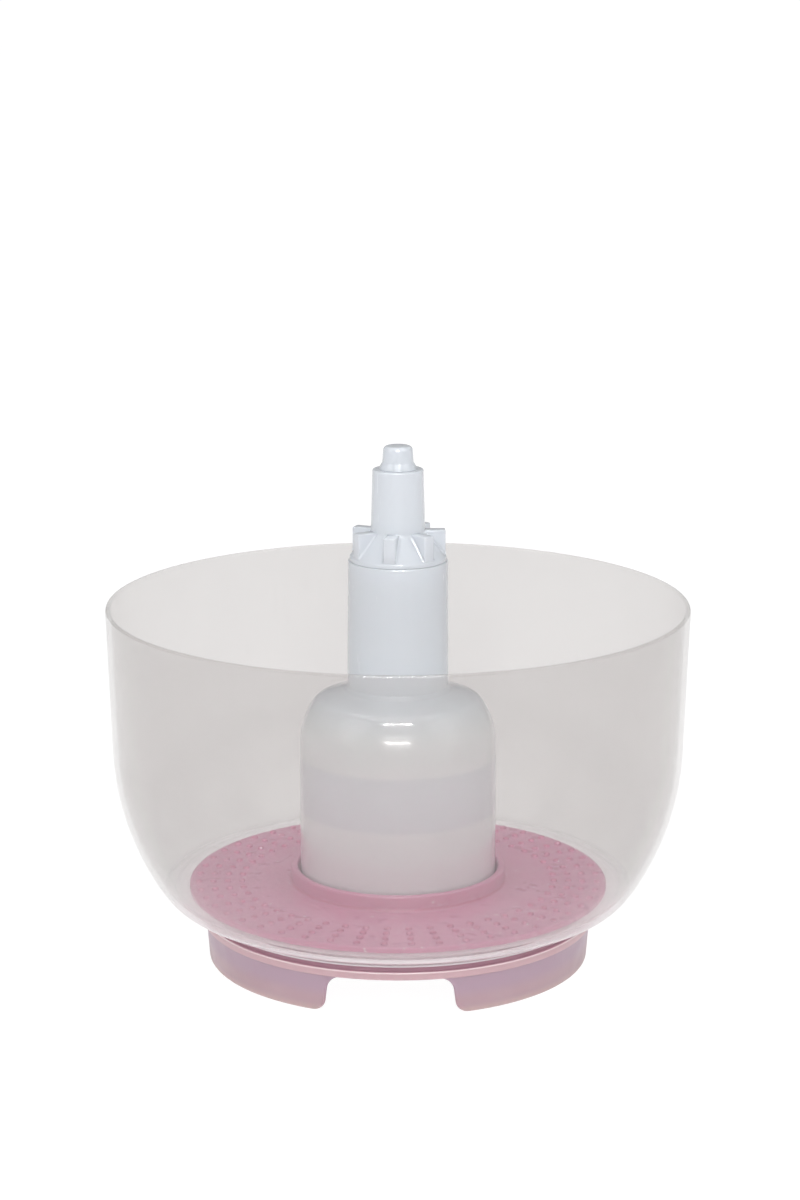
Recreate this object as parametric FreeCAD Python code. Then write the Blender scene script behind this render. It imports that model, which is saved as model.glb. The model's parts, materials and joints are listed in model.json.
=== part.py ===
import FreeCAD
import Part
import math
import os

# A powered brush cleaner: a clear wash bowl with a scrub disc on its floor and a white column in
# its middle, clamped on to a pink base with three feet. A motor and gears in the column turn the
# finned head on top of it. Millimetres, +Z up, origin where the axis meets the table.
# Azimuths are measured from the front (-Y) and grow towards +X.

# ---------------------------------------------------------------- driving dimensions
# wash bowl
RIM_RADIUS = 100.0
RIM_HEIGHT = 125.3
BOWL_WALL = 1.8
BOWL_SHOULDER = (98.36, 75.0)
BOWL_TAPER = 1.86
BOWL_BEND_RADIUS, BOWL_BEND_TURN = 89.6, 29.6
BOWL_LOWER_RADIUS, BOWL_LOWER_TURN = 50.0, 6.6
BOWL_CORNER_RADIUS = 15.0
FLOOR_TOP = 24.0
FOOT_RING_BOTTOM = 17.7
FOOT_RING_INNER, FOOT_RING_OUTER = 65.4, 68.0

# scrub disc
DISC_RADIUS = 72.7
DISC_BOTTOM, DISC_TOP = 24.3, 26.4
COLLAR_INNER, COLLAR_OUTER, COLLAR_TOP = 34.8, 37.3, 32.0
COLLAR_FILLET = 1.6
NUB_RINGS = (54.5, 59.5, 64.5, 69.5)
NUB_ROWS = 48
NUB_RADIUS, NUB_TIP_RADIUS, NUB_HEIGHT = 1.25, 0.8, 0.9

# column
COLUMN_RADIUS = 34.0
COLUMN_WALL = 2.0
SHOULDER_START = 76.0
SHOULDER_RADIUS, SHOULDER_TURN = 25.0, 35.0
SHOULDER_EDGE_RADIUS, SHOULDER_EDGE_TURN = 6.0, 36.0
TOWER_FOOT_RADIUS, TOWER_FOOT_HEIGHT, TOWER_FOOT_CHAMFER = 18.6, 95.2, 1.4
TOWER_RADIUS, TOWER_TOP_RADIUS = 17.4, 17.1
TOWER_TOP = 140.6
TOWER_EDGE = 1.2
TOWER_WALL = 1.8
TOWER_DECK = 4.6
TOWER_CEILING = TOWER_TOP - TOWER_DECK

# head
HEAD_BOTTOM = 141.0
HEAD_RADIUS = 16.6
CONE_TOP = 150.6
NECK_RADIUS, NECK_TOP_RADIUS, NECK_TOP = 9.3, 8.7, 172.0
FIN_COUNT, FIN_FIRST_AZIMUTH = 7, -10.5
FIN_REACH, FIN_TOP, FIN_THICKNESS = 16.2, 151.0, 4.2
HEAD_WALL = 1.7
HUB_RADIUS = 5.2
NECK_LID = 2.4
CAP_FLARE_RADIUS, CAP_RADIUS, CAP_TOP = 6.6, 5.35, 180.0

# drive shaft, bushes and seal
SHAFT_RADIUS, SHAFT_BOTTOM, SHAFT_TOP = 3.0, 81.9, 176.4
RUNNING_GAP = 0.05
UPPER_BUSH_RADIUS, UPPER_BUSH_BOTTOM = 5.0, 128.0
LOWER_BUSH_RADIUS = 5.0
BUSH_FLANGE = 1.2
SEAL_RADIUS, SEAL_BOTTOM = 6.2, 138.0

# base
DECK_TOP = 20.5
DECK_THICKNESS = 3.0
DECK_BOTTOM = DECK_TOP - DECK_THICKNESS
SPIGOT_RADIUS = 65.0
FLANGE_TOP, FLANGE_BOTTOM, FLANGE_RADIUS = 16.0, 13.2, 68.0
SKIRT_TOP_RADIUS, SKIRT_BOTTOM_RADIUS = 67.0, 66.0
SKIRT_WALL = 2.6
CUT_AZIMUTHS = (-2.3, 117.7, 237.7)
CUT_HALF_WIDTH, CUT_HEIGHT, CUT_CORNER, CUT_FLARE = 22.4, 12.9, 5.0, 4.5
POD_INNER, POD_OUTER, POD_BOTTOM = 33.0, 35.6, 4.2
FOOT_AZIMUTHS = (57.7, 177.7, 297.7)
PAD_RADIUS, PAD_HEIGHT, PAD_CENTRE = 4.5, 2.4, 58.8
RIB_COUNT, RIB_HALF_THICKNESS, RIB_DEPTH = 12, 0.8, 2.6

# fixings through the bowl floor
CLAMP_CIRCLE = 28.2
CLAMP_HOLE, CLAMP_SHANK, CLAMP_HEAD = 1.7, 1.5, 2.9
CLAMP_BOSS, CLAMP_SCREW_TIP = 4.2, 40.0
GASKET_INNER, GASKET_OUTER, GASKET_DEPTH = 32.2, 33.8, 1.4

# cells, tray and contacts
CELL_CIRCLE, CELL_RADIUS, CELL_BOTTOM, CELL_LENGTH = 21.0, 7.25, 20.0, 50.5
CELL_COUNT, CELL_FIRST_AZIMUTH = 4, 45.0
CELL_BUTTON_RADIUS, CELL_BUTTON_HEIGHT = 2.6, 1.4
CONTACT_THICKNESS, CONTACT_REACH, STRAP_HALF_WIDTH = 0.4, 5.2, 1.2
POCKET_RADIUS, POCKET_WALL = 7.5, 0.9
POCKET_TOP = CELL_BOTTOM + CELL_LENGTH + CONTACT_THICKNESS
TRAY_BOTTOM, TRAY_TOP = 19.0, 72.4
TRAY_RING_BOTTOM, TRAY_RING_TOP = 52.8, 72.1
TRAY_RING_RADIUS, TRAY_RING_WALL, TRAY_WEB = 31.5, 1.2, 1.4
MOTOR_SLEEVE_INNER, MOTOR_SLEEVE_OUTER = 12.3, 13.5
RIVET_RADIUS = 1.2
CARRIER_BOTTOM, CARRIER_TOP = 9.2, 11.4
KEY_HALF_WIDTH = 3.0
COIL_RADIUS, COIL_WIRE_RADIUS, COIL_TURNS = 3.4, 0.35, 4.5

# motor
MOTOR_RADIUS, MOTOR_CAN_WALL = 12.1, 0.8
MOTOR_BOTTOM, MOTOR_TOP = 43.0, 73.5
MOTOR_CAP_HEIGHT = 2.5
MOTOR_SHAFT_RADIUS, MOTOR_SHAFT_TOP = 1.0, 81.4
MOTOR_NOSE_RADIUS, MOTOR_NOSE_HEIGHT = 3.0, 1.6
MOTOR_SCREW_AZIMUTHS = (90.0, 270.0)
MOTOR_SCREW_CIRCLE, MOTOR_SCREW_RADIUS = 8.0, 1.0
ARMATURE_BOTTOM, ARMATURE_TOP = 54.0, 67.5
MAGNET_THICKNESS = 2.0
TERMINAL_OFFSET, TERMINAL_LENGTH = 5.0, 3.5

# gears: two reductions on one centre distance
MODULE = 0.5
PINION_TEETH, WHEEL_TEETH = 12, 48
PRESSURE_ANGLE = 25.0
BACKLASH = 0.12
ADDENDUM, DEDENDUM = 0.9 * MODULE, 1.2 * MODULE
IDLER_OFFSET = MODULE * (PINION_TEETH + WHEEL_TEETH) / 2.0
IDLER_AXLE_RADIUS = 1.2
STAGE_ONE = (78.0, 81.0)
STAGE_TWO = (82.2, 85.6)
LOWER_PLATE = (74.2, 76.2)
UPPER_PLATE = (87.0, 89.0)
LOWER_PLATE_RADIUS = 31.6
GEARBOX_AZIMUTHS = (0.0, 120.0, 240.0)
GEARBOX_CIRCLE, GEARBOX_BOSS, GEARBOX_SHANK = 28.8, 3.4, 1.1
GEARBOX_SCREW_TIP, GEARBOX_BOSS_TOP = 83.0, 85.0
POST_CIRCLE, POST_RADIUS, POST_SCREW = 20.5, 2.2, 0.9
POST_SCREW_DEPTH = 6.0

# battery door
DOOR_RADIUS, DOOR_TOP, DOOR_SKIN, DOOR_WALL = 32.6, 8.6, 2.0, 2.2
DOOR_GROOVE = 34.6
GROOVE_BOTTOM, GROOVE_TOP = 5.8, 8.4
LUG_HALF_WIDTH = 4.0
LUG_GAP = 0.4
DOOR_LOCK_TURN = 35.0
SEAL_SECTION = 1.2

# switch under the deck, behind the front cut-out
SWITCH_Y = -45.0
SWITCH_BOTTOM = 10.2
SWITCH_HALF_WIDTH, SWITCH_HALF_DEPTH = 5.8, 4.5
SWITCH_SCREW, SWITCH_EAR, SWITCH_EAR_THICKNESS = 0.9, 9.0, 1.6
SWITCH_TAB, SWITCH_TAB_LENGTH = 3.6, 3.0
BUTTON_RADIUS, BUTTON_BOTTOM, BUTTON_TOP, BUTTON_TRAVEL = 3.3, 6.2, 12.6, 2.0
BUTTON_GAP = 0.3

# leads
WIRE_RADIUS = 0.55
LEAD_HEIGHT = 13.6
LEAD_CHANNEL_Y, LEAD_CHANNEL_RADIUS = -17.8, 4.4

AXIS = FreeCAD.Vector(0, 0, 0)
UP = FreeCAD.Vector(0, 0, 1)


# ---------------------------------------------------------------- helpers
def polar(radius, azimuth, height=0.0):
    """A point at an azimuth measured from the front."""
    turn = math.radians(azimuth)
    return FreeCAD.Vector(radius * math.sin(turn), -radius * math.cos(turn), height)


def cylinder(radius, bottom, top, centre=AXIS):
    return Part.makeCylinder(radius, top - bottom, FreeCAD.Vector(centre.x, centre.y, bottom))


def tube(inner, outer, bottom, top, centre=AXIS):
    return cylinder(outer, bottom, top, centre).cut(cylinder(inner, bottom, top, centre))


def on_side(a, b):
    """A 2D point of a turned profile: a is the radius and b the height."""
    return FreeCAD.Vector(a, 0, b)


def on_plan(a, b):
    return FreeCAD.Vector(a, b, 0)


def rounded_wire(corners, place):
    """A closed wire through corners (a, b, fillet radius)."""
    edges = []
    starts = []
    ends = []
    middles = []
    count = len(corners)
    for index, (a, b, radius) in enumerate(corners):
        here = place(a, b)
        before = place(*corners[index - 1][:2]).sub(here).normalize()
        after = place(*corners[(index + 1) % count][:2]).sub(here).normalize()
        half = before.getAngle(after) / 2.0
        reach = radius / math.tan(half)
        starts.append(here + before * reach)
        ends.append(here + after * reach)
        bisector = (before + after).normalize() if radius else before
        middles.append(here + bisector * (radius / math.sin(half) - radius))
    for index in range(count):
        if corners[index][2]:
            edges.append(Part.Arc(starts[index], middles[index], ends[index]).toShape())
        following = starts[(index + 1) % count]
        if ends[index].distanceToPoint(following) > 1e-6:
            edges.append(Part.LineSegment(ends[index], following).toShape())
    return Part.Wire(edges)


def turned(corners):
    """A solid turned about Z from corners (radius, height, fillet radius)."""
    face = Part.Face(rounded_wire(corners, on_side))
    return face.revolve(AXIS, UP, 360)


def plate(corners, bottom, top):
    """A flat plate from corners (x, y, fillet radius)."""
    face = Part.Face(rounded_wire(corners, on_plan))
    face.translate(FreeCAD.Vector(0, 0, bottom))
    return face.extrude(FreeCAD.Vector(0, 0, top - bottom))


def box(x, y, z):
    """A box from three (low, high) pairs."""
    size = [high - low for low, high in (x, y, z)]
    return Part.makeBox(*size, FreeCAD.Vector(x[0], y[0], z[0]))


def spun(shape, azimuth):
    """A copy turned about the Z axis so that its front faces an azimuth."""
    copy = shape.copy()
    copy.rotate(AXIS, UP, azimuth)
    return copy


def bend(start, heading, radius, turn):
    """An arc in the profile plane. Headings are degrees from straight down towards the axis."""
    def step(angle):
        first, last = math.radians(heading), math.radians(heading + angle)
        inward = radius * (math.cos(first) - math.cos(last))
        down = radius * (math.sin(last) - math.sin(first))
        return FreeCAD.Vector(start.x - inward, 0, start.z - down)
    end = step(turn)
    return Part.Arc(start, step(turn / 2.0), end).toShape(), end, heading + turn


def turned_edges(edges):
    """A solid turned about Z from profile edges in any order."""
    return Part.Face(Part.Wire(Part.__sortEdges__(edges))).revolve(AXIS, UP, 360)


def lines(points):
    """Straight edges through (radius, height) points given as vectors."""
    return [Part.LineSegment(first, last).toShape() for first, last in zip(points, points[1:])]


def spaced(count, first=0.0):
    return [first + 360.0 / count * index for index in range(count)]


def joined(shapes):
    return shapes[0].multiFuse(shapes[1:])


def fused(shapes):
    return joined(shapes).removeSplitter()


def screw(centre, head_radius, shank_radius, seat, head_bottom, tip):
    """A pan head screw driven upwards: head below its seat, shank from the seat to the tip."""
    head = cylinder(head_radius, head_bottom, seat, centre)
    shank = cylinder(shank_radius, seat, tip - shank_radius, centre)
    point = Part.makeCone(shank_radius, 0.4, shank_radius,
                          FreeCAD.Vector(centre.x, centre.y, tip - shank_radius))
    slot_depth = 0.5 * (seat - head_bottom)
    solid = fused([head, shank, point])
    for quarter in (0, 90):
        bar = box((-head_radius * 0.6, head_radius * 0.6), (-0.35, 0.35),
                  (head_bottom - 0.1, head_bottom + slot_depth))
        bar.rotate(AXIS, UP, quarter)
        bar.translate(FreeCAD.Vector(centre.x, centre.y, 0))
        solid = solid.cut(bar)
    return solid


def involute_point(base_radius, radius, offset):
    """The point of an involute flank at a radius, turned by an offset angle in radians."""
    roll = math.sqrt(max(radius * radius / (base_radius * base_radius) - 1.0, 0.0))
    angle = offset + roll - math.atan(roll)
    return radius, angle


def gear(teeth, bottom, top, centre, tooth_direction):
    """A spur gear with one tooth pointing along a direction, in degrees from +X."""
    pitch = MODULE * teeth / 2.0
    tip = pitch + ADDENDUM
    root = pitch - DEDENDUM
    pressure = math.radians(PRESSURE_ANGLE)
    base = pitch * math.cos(pressure)
    half_tooth = (math.pi * MODULE / 2.0 - BACKLASH) / (2.0 * pitch)
    offset = -half_tooth - (math.tan(pressure) - pressure)
    start = max(base, root)
    flank = [involute_point(base, radius, offset) for radius in (start, (start + tip) / 2.0, tip)]
    foot_angle = flank[0][1]
    edges = []

    def at(radius, angle):
        return FreeCAD.Vector(radius * math.cos(angle), radius * math.sin(angle), 0)

    for tooth in range(teeth):
        middle = math.radians(tooth_direction) + 2.0 * math.pi * tooth / teeth
        left = [at(radius, middle + angle) for radius, angle in flank]
        right = [at(radius, middle - angle) for radius, angle in flank]
        foot = at(root, middle + foot_angle)
        next_foot = at(root, middle + 2.0 * math.pi / teeth + foot_angle)
        if start > root:
            edges.append(Part.LineSegment(foot, left[0]).toShape())
        edges.append(Part.Arc(left[0], left[1], left[2]).toShape())
        edges.append(Part.Arc(left[2], at(tip, middle), right[2]).toShape())
        edges.append(Part.Arc(right[2], right[1], right[0]).toShape())
        leave = at(root, middle - foot_angle)
        if start > root:
            edges.append(Part.LineSegment(right[0], leave).toShape())
        bottom_land = at(root, middle + math.pi / teeth)
        edges.append(Part.Arc(leave, bottom_land, next_foot).toShape())
    face = Part.Face(Part.Wire(edges))
    solid = face.extrude(FreeCAD.Vector(0, 0, top - bottom))
    solid.translate(FreeCAD.Vector(centre.x, centre.y, bottom))
    return solid


def wire_run(points):
    """A round lead along a route: straight runs joined by tangent arcs."""
    route = [FreeCAD.Vector(*point) for point in points]
    radii = []
    edges = []
    leave = route[0]
    for before, here, after in zip(route, route[1:], route[2:]):
        back = before.sub(here)
        onward = after.sub(here)
        reach = 0.45 * min(back.Length, onward.Length)
        back.normalize()
        onward.normalize()
        half = back.getAngle(onward) / 2.0
        radius = reach * math.tan(half)
        arrive = here + back * reach
        depart = here + onward * reach
        bisector = (back + onward).normalize()
        middle = here + bisector * (radius / math.sin(half) - radius)
        edges.append(Part.LineSegment(leave, arrive).toShape())
        edges.append(Part.Arc(arrive, middle, depart).toShape())
        radii.append(round(radius, 1))
        leave = depart
    edges.append(Part.LineSegment(leave, route[-1]).toShape())
    path = Part.Wire(edges)
    circle = Part.makeCircle(WIRE_RADIUS, route[0], route[1].sub(route[0]))
    solid = path.makePipeShell([Part.Wire(circle)], True, False)
    print("lead radii", radii, "volume ratio",
          round(solid.Volume / (math.pi * WIRE_RADIUS ** 2 * path.Length), 3))
    return solid


# ---------------------------------------------------------------- bowl and disc
def bowl_profile_arcs(start, wall, corner_radius):
    """The bend from the straight wall down to the floor, at a depth inside the outer surface."""
    edges = []
    heading = BOWL_TAPER
    end = start
    for radius, turn in ((BOWL_BEND_RADIUS - wall, BOWL_BEND_TURN),
                         (BOWL_LOWER_RADIUS - wall, BOWL_LOWER_TURN)):
        edge, end, heading = bend(end, heading, radius, turn)
        edges.append(edge)
    edge, end, heading = bend(end, heading, corner_radius, 90.0 - heading)
    edges.append(edge)
    return edges, end


def bowl():
    taper = math.radians(BOWL_TAPER)
    side = FreeCAD.Vector(-math.cos(taper), 0, math.sin(taper))
    outer_top = on_side(RIM_RADIUS, RIM_HEIGHT - BOWL_WALL / 2.0)
    outer_start = on_side(*BOWL_SHOULDER)
    inner_top = outer_top + side * BOWL_WALL
    inner_start = outer_start + side * BOWL_WALL
    rim_middle = (outer_top + inner_top) * 0.5 + FreeCAD.Vector(0, 0, BOWL_WALL / 2.0)
    outer_arcs, outer_end = bowl_profile_arcs(outer_start, 0.0, BOWL_CORNER_RADIUS)
    inner_start_heading = math.radians(BOWL_TAPER + BOWL_BEND_TURN + BOWL_LOWER_TURN)
    before_corner = bowl_profile_arcs(inner_start, BOWL_WALL, 1.0)[0][1].Vertexes[-1].Point
    inner_corner = (before_corner.z - FLOOR_TOP) / (1.0 - math.sin(inner_start_heading))
    inner_arcs, inner_end = bowl_profile_arcs(inner_start, BOWL_WALL, inner_corner)
    under = [outer_end,
             on_side(FOOT_RING_OUTER, outer_end.z),
             on_side(FOOT_RING_OUTER, FOOT_RING_BOTTOM),
             on_side(FOOT_RING_INNER, FOOT_RING_BOTTOM),
             on_side(FOOT_RING_INNER, DECK_TOP),
             on_side(0, DECK_TOP),
             on_side(0, inner_end.z),
             inner_end]
    edges = [Part.LineSegment(outer_top, outer_start).toShape()]
    edges += outer_arcs
    edges += lines(under)
    edges += list(reversed(inner_arcs))
    edges.append(Part.LineSegment(inner_start, inner_top).toShape())
    edges.append(Part.Arc(inner_top, rim_middle, outer_top).toShape())
    solid = turned_edges(edges)
    groove = tube(GASKET_INNER, GASKET_OUTER, FLOOR_TOP - GASKET_DEPTH, FLOOR_TOP + 1.0)
    solid = solid.cut(groove)
    return solid.cut(floor_opening(DECK_TOP - 1.0, FLOOR_TOP + 1.0))


def floor_opening(bottom, top):
    """What is cut through floor and deck: the cells' way in, the leads' way and four screw holes."""
    cutters = [cylinder(MOTOR_SLEEVE_OUTER + 1.0, bottom, top),
               cylinder(LEAD_CHANNEL_RADIUS, bottom, top, FreeCAD.Vector(0, LEAD_CHANNEL_Y, 0))]
    for azimuth in spaced(CELL_COUNT, CELL_FIRST_AZIMUTH):
        centre = polar(CELL_CIRCLE, azimuth)
        cutters.append(cylinder(POCKET_RADIUS + POCKET_WALL + 0.4, bottom, top, centre))
    for azimuth in spaced(4):
        cutters.append(cylinder(CLAMP_HOLE, bottom, top, polar(CLAMP_CIRCLE, azimuth)))
    return joined(cutters)


def bowl_gasket():
    return tube(GASKET_INNER, GASKET_OUTER, FLOOR_TOP - GASKET_DEPTH, FLOOR_TOP)


def scrub_disc():
    solid = turned([(COLLAR_INNER, DISC_BOTTOM, 0.5),
                    (DISC_RADIUS, DISC_BOTTOM, 0.7),
                    (DISC_RADIUS, DISC_TOP, 0.7),
                    (COLLAR_OUTER, DISC_TOP, COLLAR_FILLET),
                    (COLLAR_OUTER, COLLAR_TOP, 0.9),
                    (COLLAR_INNER, COLLAR_TOP, 0.9)])
    sunk = 0.3
    nubs = []
    for ring in NUB_RINGS:
        for azimuth in spaced(NUB_ROWS, 3.75):
            foot = polar(ring, azimuth, DISC_TOP - sunk)
            nubs.append(Part.makeCone(NUB_RADIUS, NUB_TIP_RADIUS, NUB_HEIGHT + sunk, foot))
    return solid.multiFuse(nubs)


# ---------------------------------------------------------------- column
def shoulder_edges(inset):
    """The two shoulder arcs from the lower cylinder upwards, at a depth inside the surface."""
    start = on_side(COLUMN_RADIUS - inset, SHOULDER_START)
    angle = 0.0
    edges = []
    for radius, turn in ((SHOULDER_RADIUS - inset, SHOULDER_TURN),
                         (SHOULDER_EDGE_RADIUS - inset, SHOULDER_EDGE_TURN)):
        first, half, last = (math.radians(angle + turn * part) for part in (0.0, 0.5, 1.0))

        def along(stop):
            return FreeCAD.Vector(start.x - radius * (math.cos(first) - math.cos(stop)), 0,
                                  start.z + radius * (math.sin(stop) - math.sin(first)))
        end = along(last)
        edges.append(Part.Arc(start, along(half), end).toShape())
        start = end
        angle += turn
    return edges, start


def column_outside():
    arcs, end = shoulder_edges(0.0)
    edge = TOWER_EDGE
    soft = 0.3 * edge
    edges = lines([on_side(0, FLOOR_TOP), on_side(COLUMN_RADIUS, FLOOR_TOP),
                   on_side(COLUMN_RADIUS, SHOULDER_START)])
    edges += arcs
    edges += lines([end, on_side(TOWER_FOOT_RADIUS, TOWER_FOOT_HEIGHT),
                    on_side(TOWER_RADIUS, TOWER_FOOT_HEIGHT + TOWER_FOOT_CHAMFER),
                    on_side(TOWER_TOP_RADIUS, TOWER_TOP - edge)])
    edges.append(Part.Arc(on_side(TOWER_TOP_RADIUS, TOWER_TOP - edge),
                          on_side(TOWER_TOP_RADIUS - soft, TOWER_TOP - soft),
                          on_side(TOWER_TOP_RADIUS - edge, TOWER_TOP)).toShape())
    edges += lines([on_side(TOWER_TOP_RADIUS - edge, TOWER_TOP), on_side(0, TOWER_TOP),
                    on_side(0, FLOOR_TOP)])
    return turned_edges(edges)


def column_inside():
    arcs, end = shoulder_edges(COLUMN_WALL)
    wall = COLUMN_RADIUS - COLUMN_WALL
    bore = TOWER_RADIUS - TOWER_WALL
    below = FLOOR_TOP - 1.0
    edges = lines([on_side(0, below), on_side(wall, below), on_side(wall, SHOULDER_START)])
    edges += arcs
    edges += lines([end, on_side(bore, TOWER_FOOT_HEIGHT - 0.8), on_side(bore - 0.3, TOWER_CEILING),
                    on_side(0, TOWER_CEILING), on_side(0, below)])
    return turned_edges(edges)


def column_shell():
    """Lower cylinder, shoulder and tower in one moulding, with screw bosses inside."""
    outside = column_outside()
    bosses = [cylinder(UPPER_BUSH_RADIUS + 2.0, UPPER_BUSH_BOTTOM, TOWER_CEILING + 0.1)]
    holes = [cylinder(UPPER_BUSH_RADIUS, UPPER_BUSH_BOTTOM - 1.0, SEAL_BOTTOM),
             cylinder(SEAL_RADIUS, SEAL_BOTTOM, TOWER_TOP + 1.0)]
    for azimuth in spaced(4):
        centre = polar(CLAMP_CIRCLE, azimuth)
        bosses.append(cylinder(CLAMP_BOSS, FLOOR_TOP, TRAY_RING_BOTTOM, centre))
        holes.append(cylinder(CLAMP_SHANK, FLOOR_TOP - 1.0, CLAMP_SCREW_TIP + 1.0, centre))
    for azimuth in GEARBOX_AZIMUTHS:
        centre = polar(GEARBOX_CIRCLE, azimuth)
        bosses.append(cylinder(GEARBOX_BOSS, LOWER_PLATE[1], GEARBOX_BOSS_TOP, centre))
        holes.append(cylinder(GEARBOX_SHANK, LOWER_PLATE[1] - 1.0, GEARBOX_SCREW_TIP + 0.5, centre))
    inside = [boss.common(outside) for boss in bosses]
    return fused([outside.cut(column_inside())] + inside).cut(joined(holes))


def flanged_bush(radius, bottom, top, flange_bottom):
    flange = tube(SHAFT_RADIUS + RUNNING_GAP, radius + BUSH_FLANGE, flange_bottom,
                  flange_bottom + BUSH_FLANGE)
    sleeve = tube(SHAFT_RADIUS + RUNNING_GAP, radius, bottom, top)
    return fused([flange, sleeve])


def upper_bush():
    return flanged_bush(UPPER_BUSH_RADIUS, UPPER_BUSH_BOTTOM, SEAL_BOTTOM,
                        UPPER_BUSH_BOTTOM - BUSH_FLANGE)


def lower_bush():
    return flanged_bush(LOWER_BUSH_RADIUS, UPPER_PLATE[0], UPPER_PLATE[1], UPPER_PLATE[1])


def shaft_seal():
    """A rubber ring with a recess between two lips."""
    top = TOWER_TOP - 0.2
    ring = tube(SHAFT_RADIUS + RUNNING_GAP, SEAL_RADIUS, SEAL_BOTTOM, top)
    recess = tube(SHAFT_RADIUS, SHAFT_RADIUS + 1.0, SEAL_BOTTOM + 0.8, top - 0.8)
    return ring.cut(recess)


# ---------------------------------------------------------------- head
def head_cavity():
    lid_bottom = NECK_TOP - NECK_LID
    return turned([(HUB_RADIUS, HEAD_BOTTOM - 1.0, 0),
                   (HEAD_RADIUS - HEAD_WALL, HEAD_BOTTOM - 1.0, 0),
                   (HEAD_RADIUS - HEAD_WALL, HEAD_BOTTOM + 0.6, 0.2),
                   (NECK_RADIUS - HEAD_WALL, CONE_TOP + 0.4, 0.5),
                   (NECK_TOP_RADIUS - HEAD_WALL, lid_bottom, 0),
                   (HUB_RADIUS, lid_bottom, 0)])


def head_fin():
    """One triangular fin: level top, upright outer edge, and its slope buried in the cone."""
    root = NECK_RADIUS - 1.5
    foot = HEAD_BOTTOM + 0.9
    face = Part.Face(rounded_wire([(root, FIN_TOP, 0.0),
                                   (FIN_REACH, FIN_TOP, 0.5),
                                   (FIN_REACH, foot, 0.3),
                                   (HEAD_RADIUS - 2.6, foot, 0.0),
                                   (root, CONE_TOP - 1.5, 0.0)], on_side))
    face.translate(FreeCAD.Vector(0, -FIN_THICKNESS / 2.0, 0))
    return spun(face.extrude(FreeCAD.Vector(0, FIN_THICKNESS, 0)), -90.0)


def drive_head():
    """Cone, neck and seven fins round a hub, hollow from below like the moulding it is."""
    outer = turned([(0, HEAD_BOTTOM, 0),
                    (HEAD_RADIUS, HEAD_BOTTOM, 0.3),
                    (NECK_RADIUS, CONE_TOP, 1.0),
                    (NECK_TOP_RADIUS, NECK_TOP, 0.6),
                    (0, NECK_TOP, 0)])
    fin = head_fin()
    fins = [spun(fin, azimuth) for azimuth in spaced(FIN_COUNT, FIN_FIRST_AZIMUTH)]
    bore = cylinder(SHAFT_RADIUS, HEAD_BOTTOM - 1.0, NECK_TOP + 1.0)
    return outer.multiFuse(fins).cut(head_cavity()).cut(bore)


def head_cap():
    """A domed nut on the end of the shaft."""
    cap = turned([(0, NECK_TOP, 0),
                  (CAP_FLARE_RADIUS, NECK_TOP, 0.2),
                  (CAP_FLARE_RADIUS - 0.5, NECK_TOP + 1.1, 0.5),
                  (CAP_RADIUS, NECK_TOP + 2.4, 1.2),
                  (CAP_RADIUS - 0.4, CAP_TOP, 1.6),
                  (0, CAP_TOP, 0)])
    return cap.cut(cylinder(SHAFT_RADIUS, NECK_TOP - 1.0, SHAFT_TOP))


def drive_shaft():
    return cylinder(SHAFT_RADIUS, SHAFT_BOTTOM, SHAFT_TOP)


# ---------------------------------------------------------------- gears
def idler_centre():
    return FreeCAD.Vector(0, IDLER_OFFSET, 0)


def half_pitch(teeth):
    """The turn that brings a gap where a tooth would be, in degrees."""
    return 180.0 / teeth


def output_gear():
    wheel = gear(WHEEL_TEETH, STAGE_TWO[0], STAGE_TWO[1], AXIS, 90.0 + half_pitch(WHEEL_TEETH))
    hub = cylinder(SHAFT_RADIUS + 2.0, STAGE_TWO[1], STAGE_TWO[1] + 1.0)
    return fused([wheel, hub]).cut(cylinder(SHAFT_RADIUS, STAGE_TWO[0] - 1.0, STAGE_TWO[1] + 2.0))


def idler_gear():
    """A wheel and a pinion in one piece, free on the idler axle."""
    centre = idler_centre()
    wheel = gear(WHEEL_TEETH, STAGE_ONE[0], STAGE_ONE[1], centre, 270.0 + half_pitch(WHEEL_TEETH))
    pinion = gear(PINION_TEETH, STAGE_ONE[1], STAGE_TWO[1] + 0.4, centre, 270.0)
    bore = cylinder(IDLER_AXLE_RADIUS + RUNNING_GAP, STAGE_ONE[0] - 1.0, STAGE_TWO[1] + 2.0, centre)
    return wheel.fuse(pinion).cut(bore)


def idler_axle():
    return cylinder(IDLER_AXLE_RADIUS, LOWER_PLATE[0], UPPER_PLATE[1], idler_centre())


def motor_pinion():
    pinion = gear(PINION_TEETH, STAGE_ONE[0] - 0.6, STAGE_ONE[1] + 0.2, AXIS, 90.0)
    return pinion.cut(cylinder(MOTOR_SHAFT_RADIUS, STAGE_ONE[0] - 1.0, STAGE_ONE[1] + 1.0))


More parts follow.
